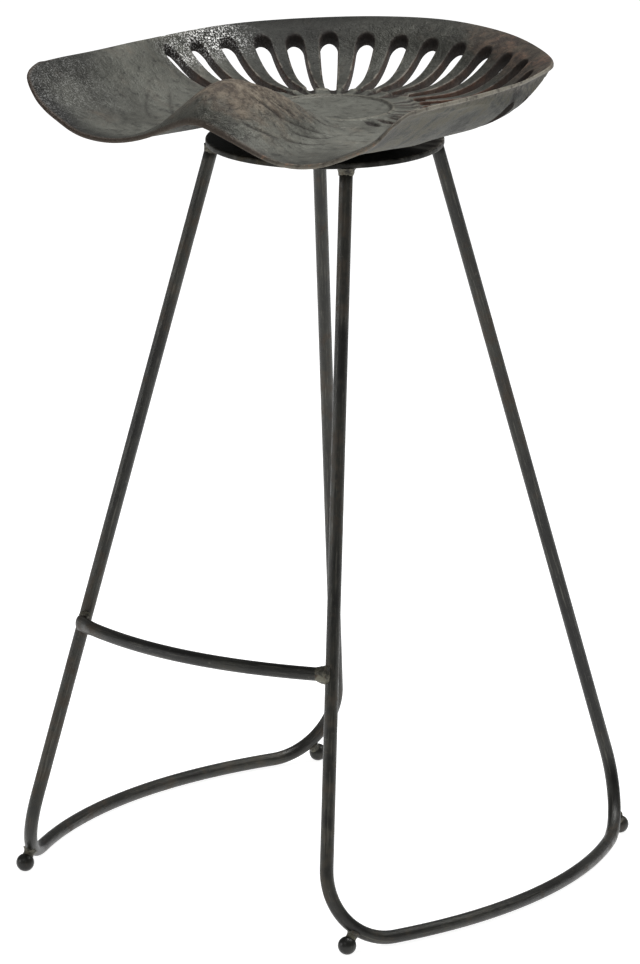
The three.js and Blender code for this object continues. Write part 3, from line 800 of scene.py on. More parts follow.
def flow_relief(x, y):
    """The flow lines on the nose: their height, and how deep in a crease each place is"""
    height, crease = np.zeros_like(x), np.zeros_like(x)
    for start, middle, finish, rise in flow_lines:
        line = curve_through(start, middle, finish, flow_steps)
        near = np.hypot(x[:, None] - line[:, 0], y[:, None] - line[:, 1])
        nearest = near.argmin(1)
        share = nearest / (flow_steps - 1)
        fade = smoothstep(share, 0, flow_fade_in) * (1 - smoothstep(share, flow_fade_out, 1))
        mark = fade * bell(near[np.arange(len(x)), nearest], 0, flow_half_width)
        height += rise * mark
        crease = np.maximum(crease, mark * np.clip(-rise, 0, 1))
    return height, crease


def casting_waves(x, y):
    out = np.empty(len(x))
    for index, (px, py) in enumerate(zip(x, y)):
        spot = Vector((px / casting_grain, py / casting_grain, casting_seed))
        out[index] = sum(noise.noise(spot * fineness) * rise for fineness, rise in casting_layers)
    return out


def pan_spots():
    """Places for the pan's points, closer together where its surface has fine marks"""
    coarse = grid_spots(seat_front_reach + pan_margin, pan_grid)
    fine = grid_spots(seat_front_reach + pan_margin, fine_grid)

    def marked(spots):
        x, y = spots.T
        nose = (x > -fine_lobe_reach) & (x < fine_nose_half_width) & (y < -fine_nose_start)
        return (np.hypot(x, y) < fine_radius) | nose

    return np.vstack([coarse[~marked(coarse)], fine[marked(fine)]])


def pan_sheet():
    """The pan in plan: points, triangles, edge loops, and distances from the rim and the slots"""
    rim = even_loop(rim_points[:, :2], rim_spacing)
    holes = [(lambda grown, slot=slot: slot_loop(slot, grown),
              lambda x, y, slot=slot: slot_distance(x, y, slot)) for slot in range(slot_count)]
    return pierced_sheet(lambda inset: inset_loop(rim, inset), holes, pan_grid, edge_ring_gaps, pan_spots())


def pan_relief(x, y):
    """The marks in the pan's upper face: ridges, grooves, flow lines, creases and quiet places"""
    radius = np.hypot(x, y)
    behind = smoothstep(y / np.maximum(radius, 1), *back_start)
    ridge = disc_ridge * bell(radius, disc_radius + disc_ridge_gap, disc_ridge_width)
    ridge += slot_ridge * behind * bell(radius, slot_ridge_radius, slot_ridge_width)
    quiet = 1 - smoothstep(nose_rise(x, y) / nose_height, *quiet_rise)
    flow, crease = flow_relief(x, y)
    return ridge, groove_cut(x, y), flow, crease, quiet


def pan_shape():
    """The casting, with marks for its finish"""
    flat, triangles, loops, rim_gap, hole_gap = pan_sheet()
    x, y = flat.T
    radius = np.hypot(x, y)
    rise, wall = pan_wall(x, y)
    ridge, groove, flow, crease, quiet = pan_relief(x, y)
    waves = casting_waves(x, y) * smoothstep(rim_gap, *casting_rim_fade)
    waves *= smoothstep(hole_gap, *casting_slot_fade)
    disc = 1 - smoothstep(radius, disc_radius - disc_edge, disc_radius + disc_edge)
    surface = rise - disc_depth * disc + (ridge - groove) * quiet + waves
    surface += flow * smoothstep(rim_gap, *flow_rim_fade)
    top = surface - edge_drop(rim_gap, rim_edge_round) - edge_drop(hole_gap, slot_edge_round)

    lip = smoothstep(rim_gap, lip_width, lip_width + lip_blend)
    under = lerp(np.minimum(wall, lip_height), wall, lip)
    at_side = 1 - smoothstep(-y / radius, *thinning)
    recess = at_side * bell(rim_gap, rim_recess_inset, rim_recess_width)
    bottom = rise - under + rim_recess_depth * recess + edge_drop(hole_gap, slot_under_round)
    bottom += edge_drop(rim_gap, rim_edge_round) * (1 - at_side * side_round_share)
    points, faces = sheet_solid(flat, triangles, loops, pan_floor + top, pan_floor + bottom)

    share = groove / groove_depth
    both_faces = {
        "cut": 1 - smoothstep(hole_gap, *cut_fade),
        "worn_edge": bell(hole_gap, worn_gap, worn_width),
        "rim_edge": 1 - smoothstep(rim_gap, *rim_edge_fade),
        "rim_near": 1 - smoothstep(rim_gap, *rim_near_fade),
        "nose": nose_rise(x, y) / nose_height,
        "groove": share * quiet,
        "groove_wall": 4 * share * (1 - share) * smoothstep(groove, *groove_wall_fade) * quiet,
        "crease": crease,
        "ring": bell(radius, disc_radius + ring_gap, ring_width) * quiet,
        "ridge": np.clip(ridge / disc_ridge, 0, 1) * quiet,
        "across": x / seat_half_width,
        "along": y / seat_half_width,
        "outward": radius / seat_half_width,
    }
    marks = {key: np.r_[values, values] for key, values in both_faces.items()}
    marks["rim_shadow"] = np.r_[np.zeros(len(flat)), recess]
    marks["under"] = np.r_[np.zeros(len(flat)), np.ones(len(flat))]
    return points + (0, pan_setback, 0), faces, marks


# Rods of the frame

rod_sides = 28
leg_steps = 40
bend_steps = 26
runner_steps = 50
footrest_steps = 80
leg_top_sink = 0.6
footrest_tip_round = 1.4
round_end_shares = (0.35, 0.62, 0.82, 0.95, 1.0)
round_end_least = 0.12


def leg_top(side, end):
    """Where a leg meets the plate. A side is -1 for left, and an end is -1 for front."""
    angle = front_leg_angle if end < 0 else back_leg_angle
    x, y = leg_top_radius * math.sin(angle), leg_top_radius * math.cos(angle)
    return np.array([side * x, end * y, plate_bottom])


def leg_corner(side, end):
    half_width, reach = front_foot if end < 0 else back_foot
    return np.array([side * half_width, end * reach, runner_height])


def leg_way(side, end):
    return unit(leg_corner(side, end) - leg_top(side, end))


def runner_way(side, end):
    chord = leg_corner(side, -end) - leg_corner(side, end)
    swing = 2 * math.atan(2 * runner_bow / np.linalg.norm(chord)) * side * end
    c, s = math.cos(swing), math.sin(swing)
    chord = unit(chord)
    return np.array([chord[0] * c - chord[1] * s, chord[0] * s + chord[1] * c, chord[2]])


def leg_bend(side, end):
    """The bend between a leg and its runner"""
    down, along, corner = leg_way(side, end), runner_way(side, end), leg_corner(side, end)
    turn = math.acos(float(down @ along))
    cutback = bend_radius * math.tan(turn / 2)
    start, finish = corner - down * cutback, corner + along * cutback
    inward = unit(-down + along * float(down @ along))
    return {"down": down, "along": along, "start": start, "finish": finish,
            "inward": inward, "centre": finish + inward * bend_radius}


def curve_points(start, start_way, finish, finish_way, radius, steps):
    """A bend between two directions, without its last point"""
    turn = math.acos(max(-1, min(1, float(start_way @ finish_way))))
    handle = 4 / 3 * math.tan(turn / 4) * radius
    a, b = start + start_way * handle, finish - finish_way * handle
    t = (np.arange(steps) / steps)[:, None]
    return (1 - t) ** 3 * start + 3 * (1 - t) ** 2 * t * a + 3 * (1 - t) * t ** 2 * b + t ** 3 * finish


def straight_points(start, finish, steps):
    t = (np.arange(steps) / steps)[:, None]
    return start * (1 - t) + finish * t


def frame_line(side):
    """The middle line of a bent rod: front leg, bowed runner and back leg"""
    front, back = leg_bend(side, -1), leg_bend(side, 1)
    tops = [leg_top(side, end) - leg_way(side, end) * leg_top_sink for end in (-1, 1)]
    back_along = -back["along"]
    chord = np.linalg.norm(front["finish"] - back["finish"])
    swing = math.acos(float(front["along"] @ back_along)) / 2
    runner_radius = chord / (2 * math.sin(swing))
    return np.vstack([
        straight_points(tops[0], front["start"], leg_steps),
        curve_points(front["start"], front["down"], front["finish"], front["along"],
                     bend_radius, bend_steps),
        curve_points(front["finish"], front["along"], back["finish"], back_along,
                     runner_radius, runner_steps),
        curve_points(back["finish"], back_along, back["start"], -back["down"], bend_radius, bend_steps),
        straight_points(back["start"], tops[1], leg_steps),
        tops[1][None],
    ])


def end_stations(spot, way, reach):
    """Shrinking rings that round off a tube's end"""
    if not reach:
        return []
    return [(spot + way * reach * share, way, max(math.sqrt(1 - share ** 2), round_end_least))
            for share in round_end_shares]


def tube(line, radius, first_round=0.0):
    """A closed tube along a line, its first end rounded over by a length"""
    line = np.asarray(line, float)
    ways = np.gradient(line, axis=0)
    ways /= np.linalg.norm(ways, axis=1)[:, None]
    stations = end_stations(line[0], ways[0], -first_round)[::-1]
    stations += [(spot, way, 1.0) for spot, way in zip(line, ways)]
    last_way = Vector(stations[0][1])
    across = last_way.orthogonal().normalized()
    turns = ring_turns(rod_sides)
    points = []
    for spot, way, share in stations:
        way = Vector(way)
        across = last_way.rotation_difference(way) @ across
        across = (across - way * across.dot(way)).normalized()
        last_way = way
        beside = way.cross(across)
        ring = np.outer(np.cos(turns), across) + np.outer(np.sin(turns), beside)
        points.extend(spot + ring * radius * share)
    faces = row_faces(len(stations), rod_sides)
    faces += [list(range(rod_sides)), list(range(len(points) - rod_sides, len(points)))]
    middles = np.array([station[0] for station in stations])
    run = np.r_[0, np.cumsum(np.linalg.norm(np.diff(middles, axis=0), axis=1))]
    marks = {"rod_run": np.repeat(run * MM, rod_sides),
             "rod_across": np.tile(np.cos(turns), len(stations)),
             "rod_beside": np.tile(np.sin(turns), len(stations))}
    return np.array(points), faces, marks


def leg_spot(side, end, height):
    """Where a leg's middle line is at a height"""
    top, corner = leg_top(side, end), leg_corner(side, end)
    return top + (corner - top) * (top[2] - height) / (top[2] - corner[2])


def footrest_line():
    left = leg_spot(-1, -1, footrest_height - footrest_lap_drop)
    right = leg_spot(1, -1, footrest_height)
    lap, butt = left - (0, footrest_lap_offset, 0), right - (0, footrest_butt_offset, 0)
    crown = (lap + butt) / 2 - (0, 2 * footrest_bow, 0)
    tip = lap + unit(lap - crown) * footrest_overhang
    return curve_through(tip, crown, butt, footrest_steps)


def footrest_shape():
    """The footrest's rod, flattened where it laps over the left leg"""
    line = footrest_line()
    points, faces, marks = tube(line, rod_radius, footrest_tip_round)
    for index, point in enumerate(points):
        middle = line[np.argmin(((line - point) ** 2).sum(1))]
        from_tip = np.linalg.norm(middle - line[0])
        flat = 1 - smoothstep(from_tip, lap_length / 2, lap_length)
        thin = lerp(1, lap_thickness / (2 * rod_radius), flat)
        wide = lerp(1, lap_width / (2 * rod_radius), flat)
        points[index] = middle + (point - middle) * (thin, thin, wide)
    return points, faces, marks


# Welds and feet. A bead's outline is how far it stands out from the rod, then where along it.

weld_sides = 40
leg_weld_sink = 0.2
leg_weld_outline = [(3.0, -1.0), (3.0, 0.4), (1.5, 2.0), (0.8, 4.4), (0.3, 7.0), (-0.6, 8.0)]
leg_weld_round = 0.8
leg_weld_middle = 3.0
leg_weld_ripple = (0.75, 3.4)
weld_plate_overhang = 1.2
weld_plate_bite = 0.4
butt_weld_outline = [(-0.4, -14.3), (0.5, -11.8), (1.5, -8.5), (3.2, -2.1), (1.4, 0.6)]
butt_weld_end = 1.0
butt_weld_round = 0.9
butt_weld_middle = 5.0
butt_weld_ripple = (0.6, 3.6)
lap_weld_radius = 4.8
lap_weld_half_height = 4.6
lap_weld_start = 0.2
lap_weld_drop = 0.6
lap_weld_stretch = (1.25, 1.0, 0.72)
lap_weld_ripple = (1.0, 2.4)
neck_radius = 4.6
neck_rod_flare = 2.6
neck_ball_flare = 1.5
neck_base_share = 0.55
neck_reach = 2.4
neck_tip = [(3.0, 1.6), (0, 2.0)]
neck_steps = 12
neck_ripple = (0.28, 3.5)
ball_steps = 22
ball_sides = 48
neck_sides = 32
lap_weld_sides = 30
lap_weld_steps = 14
ripple_seeds = (7.3, 3.1, 1.7)
fine_ripple_share = 0.5
fine_ripple_scale = 2.7


def roughen(points, centre, ripple, seed):
    """Push points in and out from a centre by a smooth noise, as the ripples of a bead. A
    ripple is its height and its size."""
    amount, size = ripple
    out = []
    for point in points:
        spot = Vector(point / size) + Vector([step * seed for step in ripple_seeds])
        push = noise.noise(spot) + fine_ripple_share * noise.noise(spot * fine_ripple_scale)
        out.append(point + unit(point - centre) * amount * push)
    return np.array(out)


def ball_centre(side, end):
    """A ball foot's centre: under its bend, and low enough to stand on its flat"""
    bend = leg_bend(side, end)
    reach = bend_radius + ball_offset
    drop = (bend["centre"][2] - (ball_radius - ball_flat_depth)) / (reach * bend["inward"][2])
    back = math.sqrt(1 - drop ** 2)
    return bend["centre"] - bend["inward"] * reach * drop - bend["along"] * reach * back


def ball_profile():
    flat = ball_radius - ball_flat_depth
    lowest = math.acos(flat / ball_radius)
    arc = [(ball_radius * math.sin(turn), -ball_radius * math.cos(turn))
           for turn in np.linspace(lowest, math.pi, ball_steps)]
    return [(0, -flat), *arc[:-1], (0, ball_radius)]


def neck_shape(side, end, seed):
    """A tapered neck from a ball to its rod, with a fillet that spreads over the rod"""
    base, mouth = ball_radius * neck_base_share, ball_offset - rod_radius + neck_reach
    rows = [(0, base)]
    for share in np.linspace(0, 1, neck_steps):
        flare = neck_rod_flare * share ** 4 + neck_ball_flare * (1 - share) ** 3
        rows.append((neck_radius + flare, lerp(base, mouth, share)))
    rows += [(radius, mouth + past) for radius, past in neck_tip]
    centre = ball_centre(side, end)
    points, faces = lathe(rows, neck_sides, centre, unit(leg_bend(side, end)["centre"] - centre))
    return roughen(points, centre, neck_ripple, seed), faces


def bead_profile(outline, end):
    """A bead's turned outline from the rod outward, closed on the rod's middle line"""
    rows = [(rod_radius + out, height) for out, height in outline]
    return [(0, rows[0][1]), *rows, (0, end)]


def leg_weld_shape(side, end, seed):
    """A lumpy fillet round the top of a leg, against the plate's underside"""
    top = leg_top(side, end) - (0, 0, leg_weld_sink)
    way = leg_way(side, end)
    rows = rounded(bead_profile(leg_weld_outline, leg_weld_outline[-1][1]), leg_weld_round, 3)
    points, faces = lathe(rows, weld_sides, top, way)
    points = roughen(points, top + way * leg_weld_middle, leg_weld_ripple, seed)
    away = np.maximum(np.hypot(*points[:, :2].T), nearly_nought)
    points[:, :2] *= np.minimum(1, (plate_radius + weld_plate_overhang) / away)[:, None]
    points[:, 2] = np.minimum(points[:, 2], plate_bottom + weld_plate_bite)
    return points, faces


def butt_weld_shape(seed):
    """The flared bead at the footrest's right end"""
    line = footrest_line()
    end, way = line[-1], unit(line[-1] - line[-2])
    rows = rounded(bead_profile(butt_weld_outline, butt_weld_end), butt_weld_round, 3)
    points, faces = lathe(rows, weld_sides, end, way)
    return roughen(points, end - way * butt_weld_middle, butt_weld_ripple, seed), faces


def lap_weld_shape(seed):
    """The small bead in the corner above the footrest's flattened end"""
    corner = leg_spot(-1, -1, footrest_height - footrest_lap_drop + lap_width / 2)
    centre = corner + (rod_radius / 2, -rod_radius, -lap_weld_drop)
    rows = [(lap_weld_radius * math.sin(turn), -lap_weld_half_height * math.cos(turn))
            for turn in np.linspace(lap_weld_start, math.pi - lap_weld_start, lap_weld_steps)]
    rows = [(0, -lap_weld_half_height), *rows, (0, lap_weld_half_height)]
    points, faces = lathe(rows, lap_weld_sides, centre)
    points = centre + (points - centre) * lap_weld_stretch
    return roughen(points, centre, lap_weld_ripple, seed), faces


# Plates, swivel and bolts

bolt_turns = [math.radians(45 + 90 * index) for index in range(4)]
base_bolt_circle = 38.0
seat_bolt_circle = 60.0
bolt_hole_radius = 3.4
bolt_radius = 3.0
bolt_head_flats = 10.0
bolt_head_height = 3.6
bolt_sides = 36
bolt_chamfer_share = 0.92
bolt_chamfer_height = 0.55
bolt_face_share = 0.96
bolt_face_height = 0.25
thread_pitch = 1.0
thread_depth = 0.3
thread_shares = (0.0, 0.25, 0.5, 0.75)
thread_end = 0.5
round_sides = 48
bearing_sides = 96
washer_thickness = 1.6
washer_inner_radius = 3.25
washer_outer_radius = 6.25
washer_round = 0.3
face_gap = 0.3
plate_hole_radius = 11.0
plate_edge_round = 1.2
plate_grid = 5.0
swivel_hole_radius = 6.3
swivel_base_radius = 48.0
swivel_top_radius = 76.0
swivel_sheet = 3.0
swivel_edge_round = 0.5
swivel_grid = 4.0
hole_edge_share = 0.5
disc_rim_spacing = 3.0
disc_ring_shares = (0.12, 0.35, 0.65, 1.0)
disc_margin = 4.0
disc_wear_gap = 0.8
bearing_inner_radius = 20.0
bearing_outer_radius = 30.0
bearing_height = 4.0
bearing_round = 0.4
bearing_groove_top = 2.0
bearing_groove_floor = 1.4
bearing_groove_depth = 0.6
pivot_radius = 6.0
pivot_head_radius = 9.0
pivot_head_height = 2.4
pivot_crown_share = 0.6
pivot_edge_share = 0.35
pivot_round = 0.5
boss_radius = 11.0
boss_floor = 706.2
boss_drill_depth = 8.4
boss_fillet = [(2.4, 0.0), (0.6, 1.6), (0.0, 3.0)]
boss_sink = 1.2
boss_round = 0.5
seat_bolt_reach = 7.0
swivel_base_low = plate_top + face_gap
swivel_base_high = swivel_base_low + swivel_sheet
bearing_low = swivel_base_high + face_gap
swivel_top_low = bearing_low + bearing_height + face_gap
swivel_top_high = swivel_top_low + swivel_sheet


def bolt_spots(radius):
    return [(radius * math.cos(turn), radius * math.sin(turn)) for turn in bolt_turns]


def bolt_holes(radius):
    return [circle_hole(x, y, bolt_hole_radius) for x, y in bolt_spots(radius)]


def disc_plate(radius, low, high, holes, edge_round, spacing):
    """A round plate with round holes, its edges eased"""
    rings = [edge_round * share for share in disc_ring_shares]
    flat, triangles, loops, rim_gap, hole_gap = pierced_sheet(
        lambda inset: circle_loop(0, 0, radius, disc_rim_spacing, -inset), holes, spacing, rings,
        grid_spots(radius + disc_margin, spacing))
    drop = edge_drop(rim_gap, edge_round) + edge_drop(hole_gap, edge_round * hole_edge_share)
    edge = bell(rim_gap, disc_wear_gap, disc_wear_gap)
    return *sheet_solid(flat, triangles, loops, high - drop, low + drop), {"rim_edge": np.r_[edge, edge]}


def swivel_plate(radius, low, bolt_circle):
    holes = bolt_holes(bolt_circle) + [circle_hole(0, 0, swivel_hole_radius)]
    return disc_plate(radius, low, low + swivel_sheet, holes, swivel_edge_round, swivel_grid)


def hex_bolt(head_low, shank_high):
    """A hex bolt from below: chamfered head, washer face, and a shank with thread rings"""
    flat, corner = bolt_head_flats / 2, bolt_head_flats / math.sqrt(3)
    turns = ring_turns(bolt_sides)
    within = (turns + math.pi / 6) % (math.pi / 3) - math.pi / 6
    rings = [(height, np.minimum(flat / np.cos(within), limit)) for height, limit in (
        (0.0, flat * bolt_chamfer_share), (bolt_chamfer_height, corner),
        (bolt_head_height - bolt_face_height, corner), (bolt_head_height, flat * bolt_face_share))]
    shank = bolt_head_height
    while head_low + shank < shank_high - thread_end:
        rings += [(shank + share * thread_pitch, bolt_radius - thread_depth * abs(2 * share - 1))
                  for share in thread_shares]
        shank += thread_pitch
    points = np.vstack([np.c_[reach * np.cos(turns), reach * np.sin(turns),
                              np.full(bolt_sides, head_low + height)] for height, reach in rings])
    ends = [list(range(bolt_sides)), list(range(len(points) - bolt_sides, len(points)))]
    return points, row_faces(len(rings), bolt_sides) + ends


def washer_shape(low):
    high = low + washer_thickness
    profile = [(washer_inner_radius, low), (washer_outer_radius, low),
               (washer_outer_radius, high), (washer_inner_radius, high)]
    return lathe(rounded(profile, washer_round, 2), round_sides)


def pivot_shape():
    """A rivet with a domed head at each end, listed from the crown of the head inward"""
    head = [(0, 1), (pivot_crown_share, 1), (1, pivot_edge_share), (1, 0)]
    low, high = swivel_base_low - face_gap, swivel_top_high + face_gap
    under = [(radius * pivot_head_radius, low - share * pivot_head_height) for radius, share in head]
    over = [(radius * pivot_head_radius, high + share * pivot_head_height) for radius, share in head]
    profile = under + [(pivot_radius, low), (pivot_radius, high)] + over[::-1]
    return lathe(rounded(profile, pivot_round, 3), round_sides)


def bearing_shape():
    """A flat ring with a shallow groove in its upper face"""
    low, high = bearing_low, bearing_low + bearing_height
    middle = (bearing_inner_radius + bearing_outer_radius) / 2
    groove = high - bearing_groove_depth
    profile = [(bearing_inner_radius, low), (bearing_outer_radius, low), (bearing_outer_radius, high),
               (middle + bearing_groove_top, high), (middle + bearing_groove_floor, groove),
               (middle - bearing_groove_floor, groove), (middle - bearing_groove_top, high),
               (bearing_inner_radius, high)]
    return lathe(rounded(profile, bearing_round, 2), bearing_sides)


def boss_shape():
    """A boss under the seat pan, drilled from below for its bolt"""
    top, drilled = pan_floor - pan_thickness + boss_sink, boss_floor + boss_drill_depth
    fillet = [(boss_radius + out, top - down) for out, down in boss_fillet]
    profile = [(0, top), *fillet, (boss_radius, boss_floor), (bolt_hole_radius, boss_floor),
               (bolt_hole_radius, drilled), (0, drilled)]
    return lathe(rounded(profile, boss_round, 2), round_sides)


# Finishes. A noise is its scale, detail and roughness, and how far it is distorted.

iron_clouds = (8.0, 6.0, 0.6, 0.5)
iron_patches = (30.0, 6.0, 0.68, 0.5)
iron_mottle = (110.0, 5.0, 0.7)
iron_speckle = (420.0, 3.0, 0.75)
iron_sand = (620.0, 2.0, 0.6)
iron_chips = (75.0, 5.0, 0.7)
fine_grain = (620.0, 3.0, 0.6)


def iron_patina_and_shade(shader):
    """Grey-green patina with brown rust on the nose, the right of the back wall and the outer walls under
    the rim, under painted shade: darker up the back wall, towards the left and the left lobe's lip, near
    the front rim and all over the underside, and lighter at the left lobe's tip"""
    mix, band = shader.mix, shader.band
    across, along, outward, under = shader.marks("across", "along", "outward", "under")
    nose, rim_near = shader.marks("nose", "rim_near")
    clouds, patches, mottle = shader.noises(iron_clouds, iron_patches, iron_mottle)
    grey = mix((0.08, 0.08, 0.067), (0.15, 0.152, 0.13), band(clouds, 0.36, 0.64))
    brown = mix((0.06, 0.043, 0.031), (0.175, 0.138, 0.1), band(mottle, 0.34, 0.66))
    back_rust = mix((0.035, 0.024, 0.02), (0.13, 0.075, 0.05), band(mottle, 0.42, 0.66))
    nose_left = band(nose + (patches - 0.5) * 0.9, 0.08, 0.75) * band(across, 0.4, 0.0)
    back_right = band(across, 0.02, 0.4) * band(outward, 0.78, 0.98) * band(along, 0.1, 0.5)
    rusting = patches * 0.55 + clouds * 0.25 + nose_left * 0.26 + back_right * 0.36
    rusted = band(rusting + band(outward, 0.3, 0.5) * 0.05, 0.45, 0.68) * (1 - under * 0.75)
    olive = under * band(patches * 0.5 + mottle * 0.4 + band(outward, 0.9, 1.0) * 0.1, 0.46, 0.6)
    # Painted shade: darker up the back wall, towards the left, over the left lobe, near the front rim and
    # under the pan, and lighter at the left lobe's tip
    shade = band(along, 0.1, 0.52) * (1 - under) * 0.6 + band(across, -0.2, -0.6) * 0.3
    shade = shade + band(across, -0.5, -0.95) * band(along, -0.3, -0.8) * 0.36
    shade = shade + under * (0.57 + band(patches * 0.8 + mottle * 0.2, 0.52, 0.4) * 0.24)
    shade = shade + rim_near * band(along, -0.2, -0.6) * (1 - under) * 0.56
    shade = shade - band(across, -0.75, -1.0) * band(along, -0.15, -0.5) * 0.34
    return shader.layers(grey, [
        ((0.22, 0.22, 0.19), band(mottle, 0.52, 0.7) * 0.4),
        ((0.02, 0.019, 0.016), band(mottle, 0.5, 0.3) * 0.75),
        (brown, rusted * 0.75),
        ((0.16, 0.135, 0.062), olive * 0.5),
        (brown, nose_left * 0.5),
        # the painted shade, as near-black over the patina
        ((0.004, 0.004, 0.003), shade),
        (back_rust, back_right * (1 - under) * (0.1 + band(patches, 0.42, 0.56) * 0.6)),
    ]), rusted, nose_left


def iron_hollows_and_ridges(shader):
    """Darker grooves, creases and disc edge, lighter raised lines, and rust-brown slot faces with painted
    shade, near-black at their outer ends and under the pan
    """
    band = shader.band
    across, outward, under, ridge = shader.marks("across", "outward", "under", "ridge")
    patches, mottle = shader.noises(iron_patches, iron_mottle)
    ring, groove, groove_wall, crease, cut = shader.marks("ring", "groove", "groove_wall", "crease", "cut")
    groove_tone = shader.mix((0.006, 0.005, 0.004), (0.05, 0.026, 0.016), band(patches, 0.48, 0.66))
    low_right = band(outward, 0.85, 0.55) * band(across, 0.05, 0.5)
    # Slot faces: rust-brown, with painted shade near-black at the slots' outer ends and on the underside
    slot_rust_and_shade = shader.layers((0.03, 0.018, 0.012), [
        ((0.125, 0.05, 0.026), low_right * 0.8 + band(mottle, 0.45, 0.65) * 0.3),
        ((0.009, 0.007, 0.006), band(outward, 0.78, 0.88) * 0.8),
        ((0.006, 0.005, 0.004), under * 0.65),
    ])
    return [
        ((0.2, 0.185, 0.145), ridge * band(mottle, 0.34, 0.56) * 0.5),
        ((0.014, 0.012, 0.01), ring * band(mottle, 0.3, 0.5) * 0.6),
        (groove_tone, groove_wall * 0.95),
        ((0.018, 0.013, 0.01), groove * 0.75),
        ((0.012, 0.01, 0.008), crease * 0.95),
        (slot_rust_and_shade, cut * 0.9),
    ]


def iron_glints_and_grains(shader, nose_left):
    """Painted glints on the left of the back wall and on the left lobe's end: near-white specks with dark
    specks between them, where the bumps are stronger too; and pale grains on the nose
    """
    band = shader.band
    across, along, outward, under = shader.marks("across", "along", "outward", "under")
    patches, mottle, speckle, sand = shader.noises(iron_patches, iron_mottle, iron_speckle, iron_sand)
    back_glints_and_grit = band(across, -0.4, -0.65) * band(outward, 0.8, 0.93) * band(along, -0.1, 0.12)
    back_glints_and_grit = back_glints_and_grit * band(along, 0.6, 0.34) * (0.35 + band(patches, 0.4, 0.58) * 0.65)
    lobe_glints_and_grit = band(across, -0.6, -0.85) * band(along, -0.45, -0.8) * band(outward, 0.8, 1.0)
    glints_and_grit = (back_glints_and_grit + lobe_glints_and_grit * 0.1) * (1 - under)
    pale = nose_left * band(speckle * 0.5 + mottle * 0.5, 0.48, 0.6) * band(along, -1.1, -0.8)
    return [
        # painted glints: near-white specks, with dark specks between them
        ((0.85, 0.85, 0.83), band(sand * 0.75 + mottle * 0.25, 0.51, 0.59) * glints_and_grit * 0.95),
        ((0.006, 0.006, 0.006), band(sand, 0.5, 0.4) * glints_and_grit * 0.85),
        ((0.3, 0.265, 0.205), pale * 0.5),
    ], glints_and_grit


def iron_edges(shader):
    """Worn edges, thin and broken round the slots; a bright edge along the rim's sides and front, part wear
    and part painted highlight; and a painted shadow line in the groove under the side rims
    """
    band, chips = shader.band, shader.noise(*iron_chips)
    across, along, outward = shader.marks("across", "along", "outward")
    worn, rim_edge, rim_shadow = shader.marks("worn_edge", "rim_edge", "rim_shadow")
    slot_wear = worn * band(chips + worn * 0.1, 0.52, 0.66) * (band(outward, 0.86, 0.7) * 0.55 + 0.1)
    side_rim, right_rim = rim_edge * band(along, 0.7, 0.3), band(across, 0.3, 0.5)
    # The bright rim edge is part wear and part painted highlight: strongest on the right and at the front,
    # and missing at the back
    rim_wear_and_highlight = side_rim * band(chips + rim_edge * 0.16, 0.46, 0.66) * (right_rim * 0.85 + 0.15)
    rim_wear_and_highlight = rim_wear_and_highlight * (0.45 + band(along, -0.95, -0.7) * 0.55)
    lip_rust = rim_edge * band(along, -1.0, -1.12) * band(across, 0.1, 0.25)
    front_rim = rim_edge * band(along, -0.75, -1.0) * (1 - right_rim)
    return [
        ((0.24, 0.215, 0.18), slot_wear),
        ((0.05, 0.038, 0.03), side_rim * right_rim * 0.65),
        ((0.27, 0.25, 0.2), rim_wear_and_highlight * 0.75),
        ((0.05, 0.034, 0.025), front_rim * 0.7),
        ((0.22, 0.13, 0.085), lip_rust * band(chips, 0.53, 0.62) * 0.7),
        ((0.01, 0.009, 0.008), rim_shadow * 0.95),
    ], rim_wear_and_highlight


def cast_iron():
    """Old cast iron: grey-green patina, brown rust in the hollows and bright worn edges, under painted
    shade, with painted glints and a painted highlight along the rim
    """
    shader = Shader("cast_iron")
    nose, cut, under = shader.marks("nose", "cut", "under")
    clouds, patches, mottle, speckle = shader.noises(iron_clouds, iron_patches, iron_mottle, iron_speckle)
    streaks = shader.noise(300.0, 4.0, 0.7, 1.5, shader.stretched(0.35, 0.35, 0.9))
    wrinkles = shader.noise(85.0, 5.0, 0.72, 2.2, shader.stretched(1.0, 0.32, 1.0))
    wrinkled = shader.band(nose, 0.05, 0.3) * (1 - under)
    # The patina's colour here carries the painted shade as well
    patina, rusted, nose_left = iron_patina_and_shade(shader)
    glint_coats, glints_and_grit = iron_glints_and_grains(shader, nose_left)
    edge_coats, rim_wear_and_highlight = iron_edges(shader)
    wrinkle_coat = ((0.022, 0.018, 0.014), wrinkled * shader.band(wrinkles, 0.46, 0.36) * 0.7)
    color = shader.layers(patina, iron_hollows_and_ridges(shader) + glint_coats + [wrinkle_coat] + edge_coats)
    relief = shader.bump(clouds * 0.4 + patches * 0.6, 0.003, 0.7)
    relief = shader.bump(mottle * 0.8 + streaks * 0.2 + wrinkles * wrinkled * 0.7, 0.0024, 0.8, relief)
    relief = shader.bump(speckle, 0.0009, 0.6 + glints_and_grit * 0.4, relief)
    metallic = (0.5 - cut * 0.35 - rusted * 0.25) * (1 - under * 0.85)
    roughness = 0.44 + rusted * 0.2 + mottle * 0.12 - rim_wear_and_highlight * 0.1 + cut * 0.15 + under * 0.18
    return shader.finish(color=color, metallic=metallic, normal=relief, roughness=roughness, specular=0.34)


